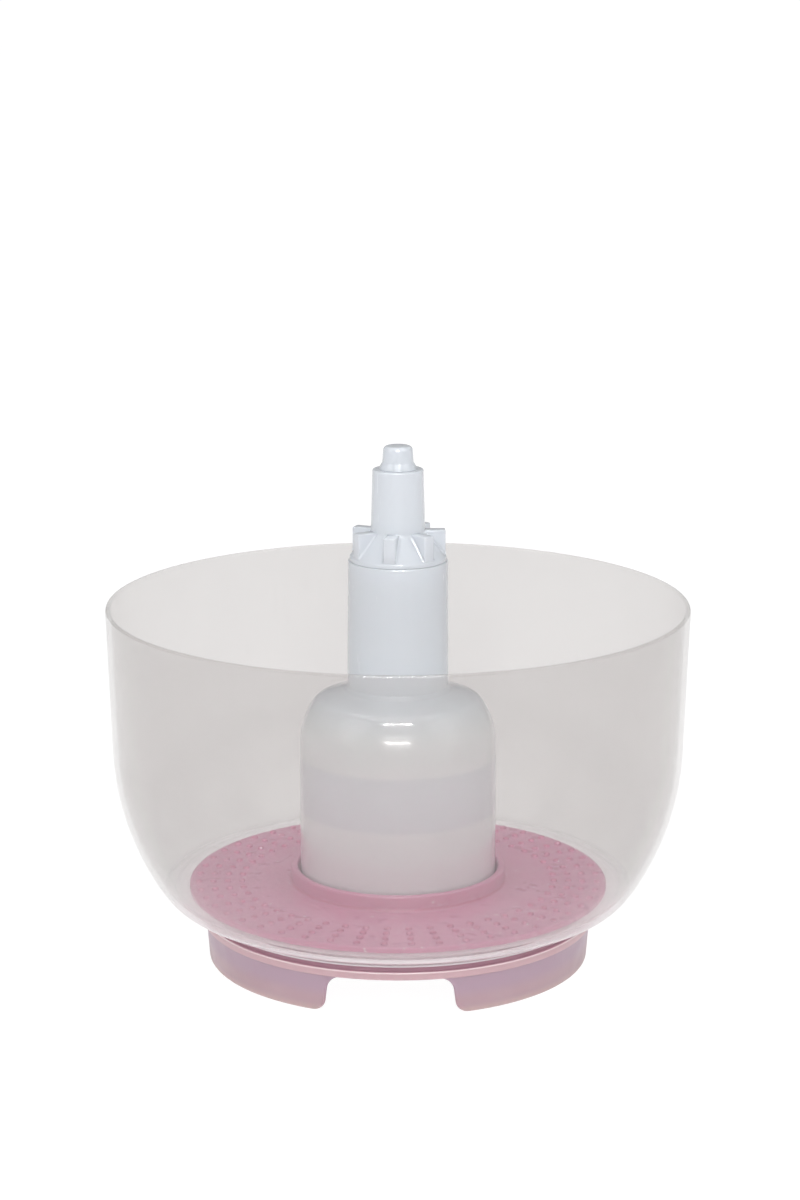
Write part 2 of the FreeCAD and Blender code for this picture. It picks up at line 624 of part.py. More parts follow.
def gear_plate_lower():
    """The gear frame's floor with three posts. The motor hangs below it."""
    low, high = LOWER_PLATE[0] - 1.0, LOWER_PLATE[1] + 1.0
    posts = [cylinder(POST_RADIUS, LOWER_PLATE[0], UPPER_PLATE[0], polar(POST_CIRCLE, azimuth))
             for azimuth in GEARBOX_AZIMUTHS]
    frame = fused([cylinder(LOWER_PLATE_RADIUS, *LOWER_PLATE)] + posts)
    holes = [cylinder(MOTOR_NOSE_RADIUS + 0.8, low, high),
             cylinder(IDLER_AXLE_RADIUS, low, high, idler_centre())]
    for azimuth in GEARBOX_AZIMUTHS:
        holes.append(cylinder(GEARBOX_SHANK, low, high, polar(GEARBOX_CIRCLE, azimuth)))
        holes.append(cylinder(POST_SCREW, UPPER_PLATE[0] - POST_SCREW_DEPTH, UPPER_PLATE[0] + 1.0,
                              polar(POST_CIRCLE, azimuth)))
    for azimuth in MOTOR_SCREW_AZIMUTHS:
        holes.append(cylinder(MOTOR_SCREW_RADIUS, low, high, polar(MOTOR_SCREW_CIRCLE, azimuth)))
    return frame.cut(joined(holes))


def gear_plate_upper():
    """The gear frame's lid: three arms and a bridge round the lower bush."""
    half_arm = 3.0
    lobes = [cylinder(LOWER_BUSH_RADIUS + 4.0, *UPPER_PLATE),
             cylinder(IDLER_AXLE_RADIUS + 2.8, *UPPER_PLATE, idler_centre()),
             box((-half_arm, half_arm), (0, IDLER_OFFSET), UPPER_PLATE)]
    arm = box((-half_arm, half_arm), (-POST_CIRCLE, 0), UPPER_PLATE)
    low, high = UPPER_PLATE[0] - 1.0, UPPER_PLATE[1] + 1.0
    holes = [cylinder(LOWER_BUSH_RADIUS, low, high),
             cylinder(IDLER_AXLE_RADIUS, low, high, idler_centre())]
    for azimuth in GEARBOX_AZIMUTHS:
        lobes.append(cylinder(POST_RADIUS + 1.6, *UPPER_PLATE, polar(POST_CIRCLE, azimuth)))
        lobes.append(spun(arm, azimuth))
        holes.append(cylinder(POST_SCREW, low, high, polar(POST_CIRCLE, azimuth)))
    return fused(lobes).cut(joined(holes))


def gearbox_screws():
    return [screw(polar(GEARBOX_CIRCLE, azimuth), 2.0, GEARBOX_SHANK, LOWER_PLATE[0],
                  LOWER_PLATE[0] - 1.2, GEARBOX_SCREW_TIP) for azimuth in GEARBOX_AZIMUTHS]


def headed_pin(centre, head_radius, head_height, radius, bottom, seat):
    """A small screw driven downwards: its head stands on the seat."""
    head = cylinder(head_radius, seat, seat + head_height, centre)
    return fused([head, cylinder(radius, bottom, seat, centre)])


def plate_screws():
    return [headed_pin(polar(POST_CIRCLE, azimuth), 1.7, 1.1, POST_SCREW,
                       UPPER_PLATE[0] - POST_SCREW_DEPTH, UPPER_PLATE[1])
            for azimuth in GEARBOX_AZIMUTHS]


# ---------------------------------------------------------------- motor
def motor_screw_centres():
    return [polar(MOTOR_SCREW_CIRCLE, azimuth) for azimuth in MOTOR_SCREW_AZIMUTHS]


def motor_can():
    """A drawn steel cup, open below, with a bearing nose and two threaded standoffs on top."""
    shaft_hole = MOTOR_SHAFT_RADIUS + RUNNING_GAP
    can = cylinder(MOTOR_RADIUS, MOTOR_BOTTOM + MOTOR_CAP_HEIGHT, MOTOR_TOP)
    hollow = cylinder(MOTOR_RADIUS - MOTOR_CAN_WALL, MOTOR_BOTTOM, MOTOR_TOP - MOTOR_CAN_WALL)
    nose = cylinder(MOTOR_NOSE_RADIUS, MOTOR_TOP - MOTOR_CAN_WALL, MOTOR_TOP + MOTOR_NOSE_HEIGHT)
    standoffs = [cylinder(MOTOR_SCREW_RADIUS + 1.0, MOTOR_TOP - MOTOR_CAN_WALL, LOWER_PLATE[0], centre)
                 for centre in motor_screw_centres()]
    holes = [cylinder(shaft_hole, MOTOR_TOP - 2.0, MOTOR_TOP + MOTOR_NOSE_HEIGHT + 1.0)]
    holes += [cylinder(MOTOR_SCREW_RADIUS, MOTOR_TOP - 2.0, LOWER_PLATE[0] + 1.0, centre)
              for centre in motor_screw_centres()]
    return fused([can.cut(hollow), nose] + standoffs).cut(joined(holes))


def motor_magnets():
    """Two curved field magnets that line the can."""
    wall = MOTOR_RADIUS - MOTOR_CAN_WALL
    bottom, top = ARMATURE_BOTTOM - 3.0, ARMATURE_TOP + 2.0
    ring = tube(wall - MAGNET_THICKNESS, wall, bottom, top)
    side = box((-wall, wall), (3.0, wall), (bottom, top))
    return [ring.common(spun(side, azimuth)) for azimuth in (0.0, 180.0)]


def motor_end_cap():
    """The plastic end with the rear bearing and two terminals."""
    top = MOTOR_BOTTOM + MOTOR_CAP_HEIGHT
    wall = MOTOR_RADIUS - MOTOR_CAN_WALL
    disc = cylinder(MOTOR_RADIUS, MOTOR_BOTTOM, top)
    plug = tube(wall - 2.0, wall, top, top + 2.0)
    tabs = [box((side - 0.3, side + 0.3), (-1.4, 1.4), (MOTOR_BOTTOM - TERMINAL_LENGTH, MOTOR_BOTTOM + 0.1))
            for side in (-TERMINAL_OFFSET, TERMINAL_OFFSET)]
    return fused([disc, plug] + tabs).cut(cylinder(MOTOR_SHAFT_RADIUS + RUNNING_GAP,
                                                   MOTOR_BOTTOM + 0.8, top + 1.0))


def motor_rotor():
    """Shaft, three-pole armature and commutator."""
    armature = (ARMATURE_BOTTOM, ARMATURE_TOP)
    parts = [cylinder(MOTOR_SHAFT_RADIUS, MOTOR_BOTTOM + 1.0, MOTOR_SHAFT_TOP),
             cylinder(2.6, ARMATURE_BOTTOM - 5.5, ARMATURE_BOTTOM - 1.5),
             cylinder(3.0, *armature)]
    arm = box((-1.2, 1.2), (-7.5, 0), armature)
    shoe = tube(6.8, 8.8, *armature).common(box((-6.0, 6.0), (-9.0, -5.5), armature))
    for azimuth in spaced(3):
        parts += [spun(arm, azimuth), spun(shoe, azimuth)]
    return fused(parts)


def motor_screws():
    """Two screws down through the gear plate into the can's standoffs."""
    return [headed_pin(centre, 1.8, 0.9, MOTOR_SCREW_RADIUS, MOTOR_TOP - MOTOR_CAN_WALL, LOWER_PLATE[1])
            for centre in motor_screw_centres()]


# ---------------------------------------------------------------- cells, tray and contacts
def cell_centres():
    return [polar(CELL_CIRCLE, azimuth) for azimuth in spaced(CELL_COUNT, CELL_FIRST_AZIMUTH)]


def battery_tray():
    """Four cell tubes round the motor sleeve, and a ring that stands on the column's bosses."""
    ring_floor = TRAY_RING_BOTTOM + TRAY_WEB
    outside = [cylinder(MOTOR_SLEEVE_OUTER, TRAY_BOTTOM, LOWER_PLATE[0]),
               tube(TRAY_RING_RADIUS - TRAY_RING_WALL, TRAY_RING_RADIUS, TRAY_RING_BOTTOM, TRAY_RING_TOP),
               cylinder(TRAY_RING_RADIUS - 0.5, TRAY_RING_BOTTOM, ring_floor)]
    hollow = [cylinder(MOTOR_SLEEVE_INNER, TRAY_BOTTOM - 1.0, LOWER_PLATE[0] + 1.0),
              cylinder(LEAD_CHANNEL_RADIUS, TRAY_RING_BOTTOM - 1.0, ring_floor + 1.0,
                       FreeCAD.Vector(0, LEAD_CHANNEL_Y, 0)),
              box((-LEAD_CHANNEL_RADIUS, LEAD_CHANNEL_RADIUS), (-MOTOR_SLEEVE_OUTER - 1.0, -10.0),
                  (TRAY_BOTTOM - 1.0, MOTOR_BOTTOM - 4.0))]
    for centre in cell_centres():
        outside.append(cylinder(POCKET_RADIUS + POCKET_WALL, TRAY_BOTTOM, TRAY_TOP, centre))
        hollow.append(cylinder(POCKET_RADIUS, TRAY_BOTTOM - 1.0, POCKET_TOP, centre))
        hollow.append(cylinder(RIVET_RADIUS, POCKET_TOP - 1.0, TRAY_TOP + 1.0, centre))
    return fused(outside).cut(joined(hollow))


def battery_cells():
    """Round cells, every second one upside down."""
    cells = []
    for number, centre in enumerate(cell_centres()):
        shoulder = CELL_LENGTH - CELL_BUTTON_HEIGHT
        can = turned([(0, 0, 0), (CELL_RADIUS, 0, 0.8), (CELL_RADIUS, shoulder, 0.8), (0, shoulder, 0)])
        cell = fused([can, cylinder(CELL_BUTTON_RADIUS, shoulder, CELL_LENGTH)])
        if number % 2:
            cell.rotate(FreeCAD.Vector(0, 0, CELL_LENGTH / 2.0), FreeCAD.Vector(1, 0, 0), 180)
        cell.translate(FreeCAD.Vector(centre.x, centre.y, CELL_BOTTOM))
        cells.append(cell)
    return cells


def battery_springs():
    """Coil springs that stand on the lower contacts and press on the cells."""
    bottom = CARRIER_TOP + CONTACT_THICKNESS + COIL_WIRE_RADIUS
    height = CELL_BOTTOM - COIL_WIRE_RADIUS - bottom
    springs = []
    for centre in cell_centres():
        helix = Part.makeHelix(height / COIL_TURNS, height, COIL_RADIUS)
        start = FreeCAD.Vector(COIL_RADIUS, 0, 0)
        circle = Part.Wire(Part.makeCircle(COIL_WIRE_RADIUS, start, FreeCAD.Vector(0, 1, 0)))
        coil = Part.Wire(helix).makePipeShell([circle], True, True)
        coil.translate(FreeCAD.Vector(centre.x, centre.y, bottom))
        springs.append(coil)
    return springs


def strap(first, second, bottom):
    """A thin strip between two cells with a round pad at each end."""
    direction = second.sub(first)
    strip = box((0, direction.Length), (-STRAP_HALF_WIDTH, STRAP_HALF_WIDTH),
                (bottom, bottom + CONTACT_THICKNESS))
    strip.rotate(AXIS, UP, math.degrees(math.atan2(direction.y, direction.x)))
    strip.translate(FreeCAD.Vector(first.x, first.y, 0))
    return strip


def pad(centre, bottom):
    return cylinder(CONTACT_REACH, bottom, bottom + CONTACT_THICKNESS, centre)


def bottom_contacts():
    """Two plates on the carrier that each bridge two neighbouring cells."""
    cells = cell_centres()
    return [fused([strap(cells[one], cells[other], CARRIER_TOP), pad(cells[one], CARRIER_TOP),
                   pad(cells[other], CARRIER_TOP)]) for one, other in ((0, 1), (2, 3))]


def rivetted_pad(centre):
    """A pad under the tray's roof with its rivet through it."""
    rivet = cylinder(RIVET_RADIUS, POCKET_TOP - CONTACT_THICKNESS, TRAY_TOP + CONTACT_THICKNESS, centre)
    return [pad(centre, POCKET_TOP - CONTACT_THICKNESS), rivet]


def top_contacts():
    """A bridge at the back and, at the front, one tag for each of the two leads."""
    cells = cell_centres()
    bridge = fused(rivetted_pad(cells[1]) + rivetted_pad(cells[2])
                   + [strap(cells[1], cells[2], TRAY_TOP)])
    tags = [fused(rivetted_pad(centre) + [cylinder(2.2, TRAY_TOP, TRAY_TOP + CONTACT_THICKNESS, centre)])
            for centre in (cells[0], cells[3])]
    return [bridge] + tags


def contact_carrier():
    """The insulating plate under the cells. A key stops it from turning with the door."""
    disc = cylinder(POD_INNER - 0.4, CARRIER_BOTTOM, CARRIER_TOP)
    key = box((-KEY_HALF_WIDTH, KEY_HALF_WIDTH), (POD_INNER - 4.0, POD_INNER + 0.9),
              (CARRIER_BOTTOM, CARRIER_TOP))
    return fused([disc, key])


# ---------------------------------------------------------------- base
def foot_cut(azimuth):
    """An arched opening through the skirt, rounded at its top corners and at the foot corners."""
    width = CUT_HALF_WIDTH
    lean = 1.6
    beyond = 10.0
    corners = [(-width - beyond, -beyond, 0.0),
               (-width - beyond, 0.0, 0.0),
               (-width, 0.0, CUT_FLARE),
               (-width + lean, CUT_HEIGHT, CUT_CORNER),
               (width - lean, CUT_HEIGHT, CUT_CORNER),
               (width, 0.0, CUT_FLARE),
               (width + beyond, 0.0, 0.0),
               (width + beyond, -beyond, 0.0)]
    face = Part.Face(rounded_wire(corners, on_side))
    face.translate(FreeCAD.Vector(0, -SKIRT_TOP_RADIUS - 4.0, 0))
    return spun(face.extrude(FreeCAD.Vector(0, 16.0, 0)), azimuth)


def base_body():
    """Deck, spigot, flange and skirt."""
    return turned([(0, DECK_TOP, 0.0),
                   (SPIGOT_RADIUS, DECK_TOP, 0.4),
                   (SPIGOT_RADIUS, FLANGE_TOP, 0.0),
                   (FLANGE_RADIUS, FLANGE_TOP, 0.6),
                   (FLANGE_RADIUS, FLANGE_BOTTOM, 0.6),
                   (SKIRT_TOP_RADIUS, FLANGE_BOTTOM, 0.0),
                   (SKIRT_BOTTOM_RADIUS, 0.0, 1.2),
                   (SKIRT_BOTTOM_RADIUS - SKIRT_WALL, 0.0, 1.0),
                   (SKIRT_TOP_RADIUS - SKIRT_WALL, DECK_BOTTOM, 0.0),
                   (0, DECK_BOTTOM, 0.0)])


def base_additions():
    """The battery pod, a boss for each rubber foot, and ribs under the deck."""
    buried = DECK_BOTTOM + 0.5
    pod = turned([(POD_INNER, POD_BOTTOM, 0.4), (POD_OUTER, POD_BOTTOM, 0.4),
                  (POD_OUTER, buried, 0.0), (POD_INNER, buried, 0.0)])
    bosses = [cylinder(PAD_RADIUS + 1.4, 0.8, buried, polar(PAD_CENTRE, azimuth))
              .common(cylinder(SKIRT_BOTTOM_RADIUS - 1.0, 0, buried)) for azimuth in FOOT_AZIMUTHS]
    rib = box((-RIB_HALF_THICKNESS, RIB_HALF_THICKNESS), (SKIRT_WALL - SKIRT_BOTTOM_RADIUS, 0.4 - POD_OUTER),
              (DECK_BOTTOM - RIB_DEPTH, buried))
    half_step = 180.0 / RIB_COUNT
    ribs = [spun(rib, azimuth) for azimuth in spaced(RIB_COUNT, half_step)]
    return [pod] + bosses + ribs


def base_cuts():
    cuts = [floor_opening(DECK_BOTTOM - 1.0, DECK_TOP + 1.0),
            tube(POD_INNER - 0.1, DOOR_GROOVE, GROOVE_BOTTOM, GROOVE_TOP),
            box((-KEY_HALF_WIDTH - 0.3, KEY_HALF_WIDTH + 0.3), (POD_INNER - 1.0, POD_INNER + 1.3),
                (GROOVE_TOP - 0.1, CARRIER_TOP + 0.4)),
            box((-TERMINAL_OFFSET - 1.5, TERMINAL_OFFSET + 1.5), (-POD_OUTER - 1.0, -POD_INNER + 1.0),
                (LEAD_HEIGHT - 1.5, DECK_BOTTOM))]
    slot = box((-LUG_HALF_WIDTH - 0.8, LUG_HALF_WIDTH + 0.8), (-DOOR_GROOVE, -POD_INNER + 1.0),
               (POD_BOTTOM - 1.0, GROOVE_TOP)).common(cylinder(DOOR_GROOVE, 0, GROOVE_TOP))
    cuts += [spun(slot, azimuth) for azimuth in spaced(3)]
    cuts += [foot_cut(azimuth) for azimuth in CUT_AZIMUTHS]
    cuts += [cylinder(PAD_RADIUS, 0.0, PAD_HEIGHT, polar(PAD_CENTRE, azimuth))
             for azimuth in FOOT_AZIMUTHS]
    cuts += [cylinder(SWITCH_SCREW, DECK_BOTTOM - 1.0, DECK_BOTTOM + 2.0, centre)
             for centre in switch_ears()]
    return joined(cuts)


def base_ring():
    switch_room = box((-SWITCH_EAR - 3.2, SWITCH_EAR + 3.2), (SWITCH_Y - 7.0, SWITCH_Y + 7.0),
                      (DECK_BOTTOM - RIB_DEPTH - 1.0, DECK_BOTTOM))
    solid = fused([base_body()] + base_additions())
    return solid.cut(switch_room).cut(base_cuts()).removeSplitter()


def foot_pads():
    return [cylinder(PAD_RADIUS, 0.0, PAD_HEIGHT, polar(PAD_CENTRE, azimuth))
            for azimuth in FOOT_AZIMUTHS]


def base_screws():
    return [screw(polar(CLAMP_CIRCLE, azimuth), CLAMP_HEAD, CLAMP_SHANK, DECK_BOTTOM,
                  DECK_BOTTOM - 2.0, CLAMP_SCREW_TIP) for azimuth in spaced(4)]


def battery_door():
    """A round lid with three bayonet lugs and a coin slot, drawn locked."""
    disc = cylinder(DOOR_RADIUS, POD_BOTTOM, POD_BOTTOM + DOOR_SKIN)
    wall = tube(DOOR_RADIUS - DOOR_WALL, DOOR_RADIUS, POD_BOTTOM, DOOR_TOP)
    lug = box((-LUG_HALF_WIDTH, LUG_HALF_WIDTH), (-DOOR_GROOVE, 0.8 - DOOR_RADIUS),
              (GROOVE_BOTTOM + LUG_GAP, GROOVE_TOP - LUG_GAP))
    lug = lug.common(cylinder(DOOR_GROOVE - LUG_GAP, 0, DOOR_TOP))
    lugs = [spun(lug, azimuth) for azimuth in spaced(3, DOOR_LOCK_TURN)]
    slot = plate([(-9.0, -1.1, 1.0), (9.0, -1.1, 1.0), (9.0, 1.1, 1.0), (-9.0, 1.1, 1.0)],
                 POD_BOTTOM - 1.0, POD_BOTTOM + 1.2)
    step = tube(DOOR_RADIUS - SEAL_SECTION, DOOR_RADIUS + 1.0, DOOR_TOP - SEAL_SECTION, DOOR_TOP + 1.0)
    return fused([disc, wall] + lugs).cut(slot).cut(step)


def door_seal():
    return tube(DOOR_RADIUS - SEAL_SECTION, DOOR_RADIUS, DOOR_TOP - SEAL_SECTION, DOOR_TOP)


# ---------------------------------------------------------------- switch and leads
def switch_ears():
    return [FreeCAD.Vector(side * SWITCH_EAR, SWITCH_Y, 0) for side in (-1, 1)]


def switch_body():
    """A push switch hung under the deck on two ears, its button facing down."""
    centre = FreeCAD.Vector(0, SWITCH_Y, 0)
    back = SWITCH_Y + SWITCH_HALF_DEPTH
    case = box((-SWITCH_HALF_WIDTH, SWITCH_HALF_WIDTH), (SWITCH_Y - SWITCH_HALF_DEPTH, back),
               (SWITCH_BOTTOM, DECK_BOTTOM))
    ears = box((-SWITCH_EAR - 2.4, SWITCH_EAR + 2.4), (SWITCH_Y - 2.4, SWITCH_Y + 2.4),
               (DECK_BOTTOM - SWITCH_EAR_THICKNESS, DECK_BOTTOM))
    collar = cylinder(BUTTON_RADIUS + 1.3, SWITCH_BOTTOM - 1.4, SWITCH_BOTTOM, centre)
    tabs = [box((side - 1.2, side + 1.2), (back - 0.1, back + SWITCH_TAB_LENGTH),
                (LEAD_HEIGHT - 0.3, LEAD_HEIGHT + 0.3)) for side in (-SWITCH_TAB, SWITCH_TAB)]
    holes = [cylinder(BUTTON_RADIUS + BUTTON_GAP, SWITCH_BOTTOM - 2.0,
                      BUTTON_TOP + BUTTON_TRAVEL + BUTTON_GAP, centre)]
    holes += [cylinder(SWITCH_SCREW, DECK_BOTTOM - 3.0, DECK_BOTTOM + 1.0, ear) for ear in switch_ears()]
    return fused([case, ears, collar] + tabs).cut(joined(holes))


def switch_button():
    """A round button with a bevelled face."""
    bevel = 0.8
    stem = cylinder(BUTTON_RADIUS, BUTTON_BOTTOM + bevel, BUTTON_TOP, FreeCAD.Vector(0, SWITCH_Y, 0))
    face = Part.makeCone(BUTTON_RADIUS - bevel, BUTTON_RADIUS, bevel,
                         FreeCAD.Vector(0, SWITCH_Y, BUTTON_BOTTOM))
    return fused([stem, face])


def switch_screws():
    seat = DECK_BOTTOM - SWITCH_EAR_THICKNESS
    return [screw(ear, 1.7, SWITCH_SCREW, seat, seat - 1.1, DECK_BOTTOM + 1.8) for ear in switch_ears()]


def lead_wires():
    """Switch to motor, switch to the left tag, and the right tag to the motor."""
    tab_end = SWITCH_Y + SWITCH_HALF_DEPTH + SWITCH_TAB_LENGTH
    terminal = MOTOR_BOTTOM - TERMINAL_LENGTH
    tag = polar(CELL_CIRCLE, CELL_FIRST_AZIMUTH, TRAY_TOP + CONTACT_THICKNESS + WIRE_RADIUS)
    routes = [
        [(SWITCH_TAB, tab_end, LEAD_HEIGHT), (SWITCH_TAB - 0.4, -29.0, LEAD_HEIGHT + 0.3),
         (2.4, -20.0, 14.6), (1.2, -16.0, 20.5), (2.0, -10.0, 28.0),
         (TERMINAL_OFFSET - 0.2, -2.6, 32.5), (TERMINAL_OFFSET, 0.0, terminal)],
        [(-SWITCH_TAB, tab_end, LEAD_HEIGHT), (0.4 - SWITCH_TAB, -29.5, LEAD_HEIGHT + 0.3),
         (-2.2, -20.2, 14.9), (-1.8, -17.8, 23.5), (-1.9, LEAD_CHANNEL_Y + 0.5, 46.0),
         (-2.0, LEAD_CHANNEL_Y - 0.4, 66.0), (-5.4, -18.6, 73.6), (-tag.x + 2.4, tag.y, tag.z)],
        [(-TERMINAL_OFFSET, 0.0, terminal), (0.2 - TERMINAL_OFFSET, -2.6, 33.0),
         (-1.0, -11.0, 31.0), (1.6, -16.6, 33.5), (2.0, LEAD_CHANNEL_Y + 0.4, 42.0),
         (1.8, LEAD_CHANNEL_Y - 0.3, 65.5), (5.4, -18.6, 73.6), (tag.x - 2.4, tag.y, tag.z)],
    ]
    return [wire_run(route) for route in routes]


# ---------------------------------------------------------------- write one file per sub-part
MAKERS = (bowl, bowl_gasket, scrub_disc, column_shell, upper_bush, shaft_seal, drive_head, head_cap,
          drive_shaft, output_gear, idler_gear, idler_axle, motor_pinion, gear_plate_lower,
          gear_plate_upper, lower_bush, gearbox_screws, plate_screws, motor_can, motor_magnets,
          motor_end_cap, motor_rotor, motor_screws, battery_tray, battery_cells, battery_springs,
          top_contacts, bottom_contacts, contact_carrier, base_ring, foot_pads, base_screws,
          battery_door, door_seal, switch_body, switch_button, switch_screws, lead_wires)

os.makedirs("parts", exist_ok=True)
for maker in MAKERS:
    made = maker()
    solids = [solid for shape in (made if isinstance(made, list) else [made]) for solid in shape.Solids]
    shape = solids[0] if len(solids) == 1 else Part.makeCompound(solids)
    print(maker.__name__, "solids", len(solids), "faces", len(shape.Faces), "valid", shape.isValid(),
          "cm3", round(shape.Volume / 1000.0, 2))
    shape.exportStep("parts/" + maker.__name__ + ".step")
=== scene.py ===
import json
import math

import bmesh
import bpy
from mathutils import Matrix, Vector


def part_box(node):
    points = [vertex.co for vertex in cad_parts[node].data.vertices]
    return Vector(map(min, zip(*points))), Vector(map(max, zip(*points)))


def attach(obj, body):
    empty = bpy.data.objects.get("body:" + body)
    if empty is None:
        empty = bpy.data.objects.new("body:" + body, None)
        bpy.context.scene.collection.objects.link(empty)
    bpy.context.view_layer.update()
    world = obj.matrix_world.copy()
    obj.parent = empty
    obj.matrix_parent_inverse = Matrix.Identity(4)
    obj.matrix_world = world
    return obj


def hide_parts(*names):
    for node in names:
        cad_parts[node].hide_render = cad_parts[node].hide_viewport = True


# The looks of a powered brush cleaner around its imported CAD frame. Profiles are in millimetres as
# (radius, height), turned about Z; everything is scaled to metres when a mesh is made. Azimuths are
# measured from the front (-Y) and grow towards +X.

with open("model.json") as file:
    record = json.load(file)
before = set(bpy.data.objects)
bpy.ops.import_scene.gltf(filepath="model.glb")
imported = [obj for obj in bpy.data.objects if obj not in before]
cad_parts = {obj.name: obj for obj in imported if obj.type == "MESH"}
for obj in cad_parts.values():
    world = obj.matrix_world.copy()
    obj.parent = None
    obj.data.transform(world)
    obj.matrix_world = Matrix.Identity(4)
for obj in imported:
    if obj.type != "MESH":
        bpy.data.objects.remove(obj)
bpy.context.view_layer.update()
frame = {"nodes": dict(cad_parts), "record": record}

MM = 0.001
TURN_STEPS = 288
ARC_STEP = math.radians(7.5)
SHARP_ANGLE = math.radians(34.0)


def height_of(name, end):
    """The lowest (0) or highest (1) height of a CAD node, in millimetres."""
    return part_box(name)[end].z / MM


def reach_of(name):
    """How far a CAD node reaches from the axis along X, in millimetres."""
    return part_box(name)[1].x / MM


# sizes read from the frame
RIM_RADIUS = reach_of("bowl")
RIM_HEIGHT = height_of("bowl", 1)
FOOT_RING_BOTTOM = height_of("bowl", 0)
DISC_RADIUS = reach_of("scrub_disc")
DISC_BOTTOM = height_of("scrub_disc", 0)
COLLAR_TOP = height_of("scrub_disc", 1)
COLUMN_BOTTOM = height_of("column_shell", 0)
COLUMN_RADIUS = reach_of("column_shell")
TOWER_TOP = height_of("column_shell", 1)
HEAD_BOTTOM = height_of("drive_head", 0)
NECK_TOP = height_of("drive_head", 1)
CAP_TOP = height_of("head_cap", 1)
DECK_TOP = height_of("base_ring", 1)
FLANGE_RADIUS = reach_of("base_ring")

# bowl
BOWL_WALL = 1.8
BOWL_SHOULDER = (98.36, 75.0)
BOWL_TAPER = 1.86
BOWL_BENDS = ((89.6, 29.6), (50.0, 6.6))
BOWL_CORNER = 15.0
BOWL_STEPS, RIM_STEPS = 384, 10
FLOOR_TOP, FLOOR_BOTTOM = 24.0, 20.58
FOOT_RING_INNER, FOOT_RING_OUTER = 65.4, 68.0
FLOOR_HOLE = 30.2

# scrub disc
DISC_TOP = 26.4
COLLAR_INNER, COLLAR_OUTER = 34.8, 37.3
NUB_RINGS = (54.5, 59.5, 64.5, 69.5)
NUB_ROWS, NUB_FIRST, NUB_STEPS = 48, 3.75, 18
NUB_SHAPE = ((1.25, -0.3), (1.2, 0.25), (1.05, 0.6), (0.85, 0.82), (0.45, 0.9))

# column
SHOULDER_START = 76.0
SHOULDER_BENDS = ((25.0, 35.0), (6.0, 36.0))
TOWER_FOOT = (18.6, 95.2)
TOWER_RADIUS, TOWER_TOP_RADIUS = 17.4, 17.1
COLUMN_WALL, TOWER_WALL = 2.0, 1.8
SEAL_BORE, CEILING = 6.2, 136.0

# head
HEAD_RADIUS, CONE_BOTTOM, CONE_TOP = 16.6, HEAD_BOTTOM + 0.9, 150.6
NECK_RADIUS, NECK_TOP_RADIUS = 9.3, 8.7
HEAD_SKIRT = 0.33
HEAD_WALL, HEAD_LID, HUB_RADIUS = 1.7, 2.4, 5.2
FIN_COUNT, FIN_FIRST = 7, -10.5
FIN_REACH, FIN_TOP, FIN_THICKNESS = 16.2, 151.0, 4.2
FIN_BEVEL, FIN_FILLET, FILLET_STEPS = 0.42, 0.9, 10
HEAD_STEPS, CAP_STEPS = 192, 128
SHAFT_RADIUS = 3.0
CAP_FLARE_RADIUS, CAP_RADIUS, CAP_BORE_TOP = 6.6, 5.35, 176.4

# base
DECK_BOTTOM = 17.5
SPIGOT_RADIUS = 65.0
FLANGE_TOP, FLANGE_BOTTOM = 16.0, 13.2
SKIRT_TOP_RADIUS, SKIRT_BOTTOM_RADIUS, SKIRT_WALL = 67.0, 66.0, 2.6
CUT_AZIMUTHS = (-2.3, 117.7, 237.7)
CUT_HALF_WIDTH, CUT_HEIGHT, CUT_LEAN = 22.4, 12.9, 1.6
CUT_CORNER, CUT_FLARE = 5.0, 4.5
LIP, LIP_STEPS, SKIRT_STEPS = 0.9, 5, 44
POD_INNER, POD_OUTER, POD_BOTTOM = 33.0, 35.6, 4.2
FOOT_AZIMUTHS = (57.7, 177.7, 297.7)
PAD_CENTRE, PAD_RADIUS, PAD_HEIGHT, BOSS_WALL = 58.8, 4.5, 2.4, 1.4
RIB_COUNT, RIB_HALF, RIB_DEPTH, RIB_REACH = 12, 0.8, 2.6, 64.2

# heights between which a colour or finish changes
# the glow heights bound a painted glow, an emission on the bowl's bottom corner
CORNER_HAZE, PAINTED_GLOW_BAND, PAINTED_GLOW_FOOT = (22.0, 27.0), (21.0, 27.0), (19.4, 21.0)
RING_CLEARER, RING_EDGE = (19.2, 20.6), (FOOT_RING_BOTTOM + 0.5, FOOT_RING_BOTTOM + 1.0)
# the tray band bounds a painted shade band on the column
TRAY_SHADE_BAND, BAND_SOFTNESS = (52.8, 72.1), 1.4
# over this band the lower column's painted bounce light fades into the tower's colour
BOUNCE_FADE_BAND = (80.0, 96.0)
HEAD_START = (HEAD_BOTTOM - 0.4, HEAD_BOTTOM - 0.3)
NUB_RISE, NUB_END = (DISC_TOP + 0.15, DISC_TOP + 0.6), (DISC_TOP + 1.0, DISC_TOP + 1.4)
# the upper feet get a painted violet-grey shade, and their lowest edge painted bounce light in beige
FOOT_SHADE_BAND, FOOT_BOUNCE_BAND, SKIRT_END = (4.0, 9.5), (0.5, 3.0), (12.5, 13.5)
FLANGE_START, FLANGE_FACE = (12.8, 13.6), (15.9, 15.98)
# heights of a painted highlight line along the flange's top edge
FLANGE_HIGHLIGHT_START, FLANGE_HIGHLIGHT_END = (15.4, 15.7), (15.88, 15.97)
WRAP_END = (58.0, 58.5)

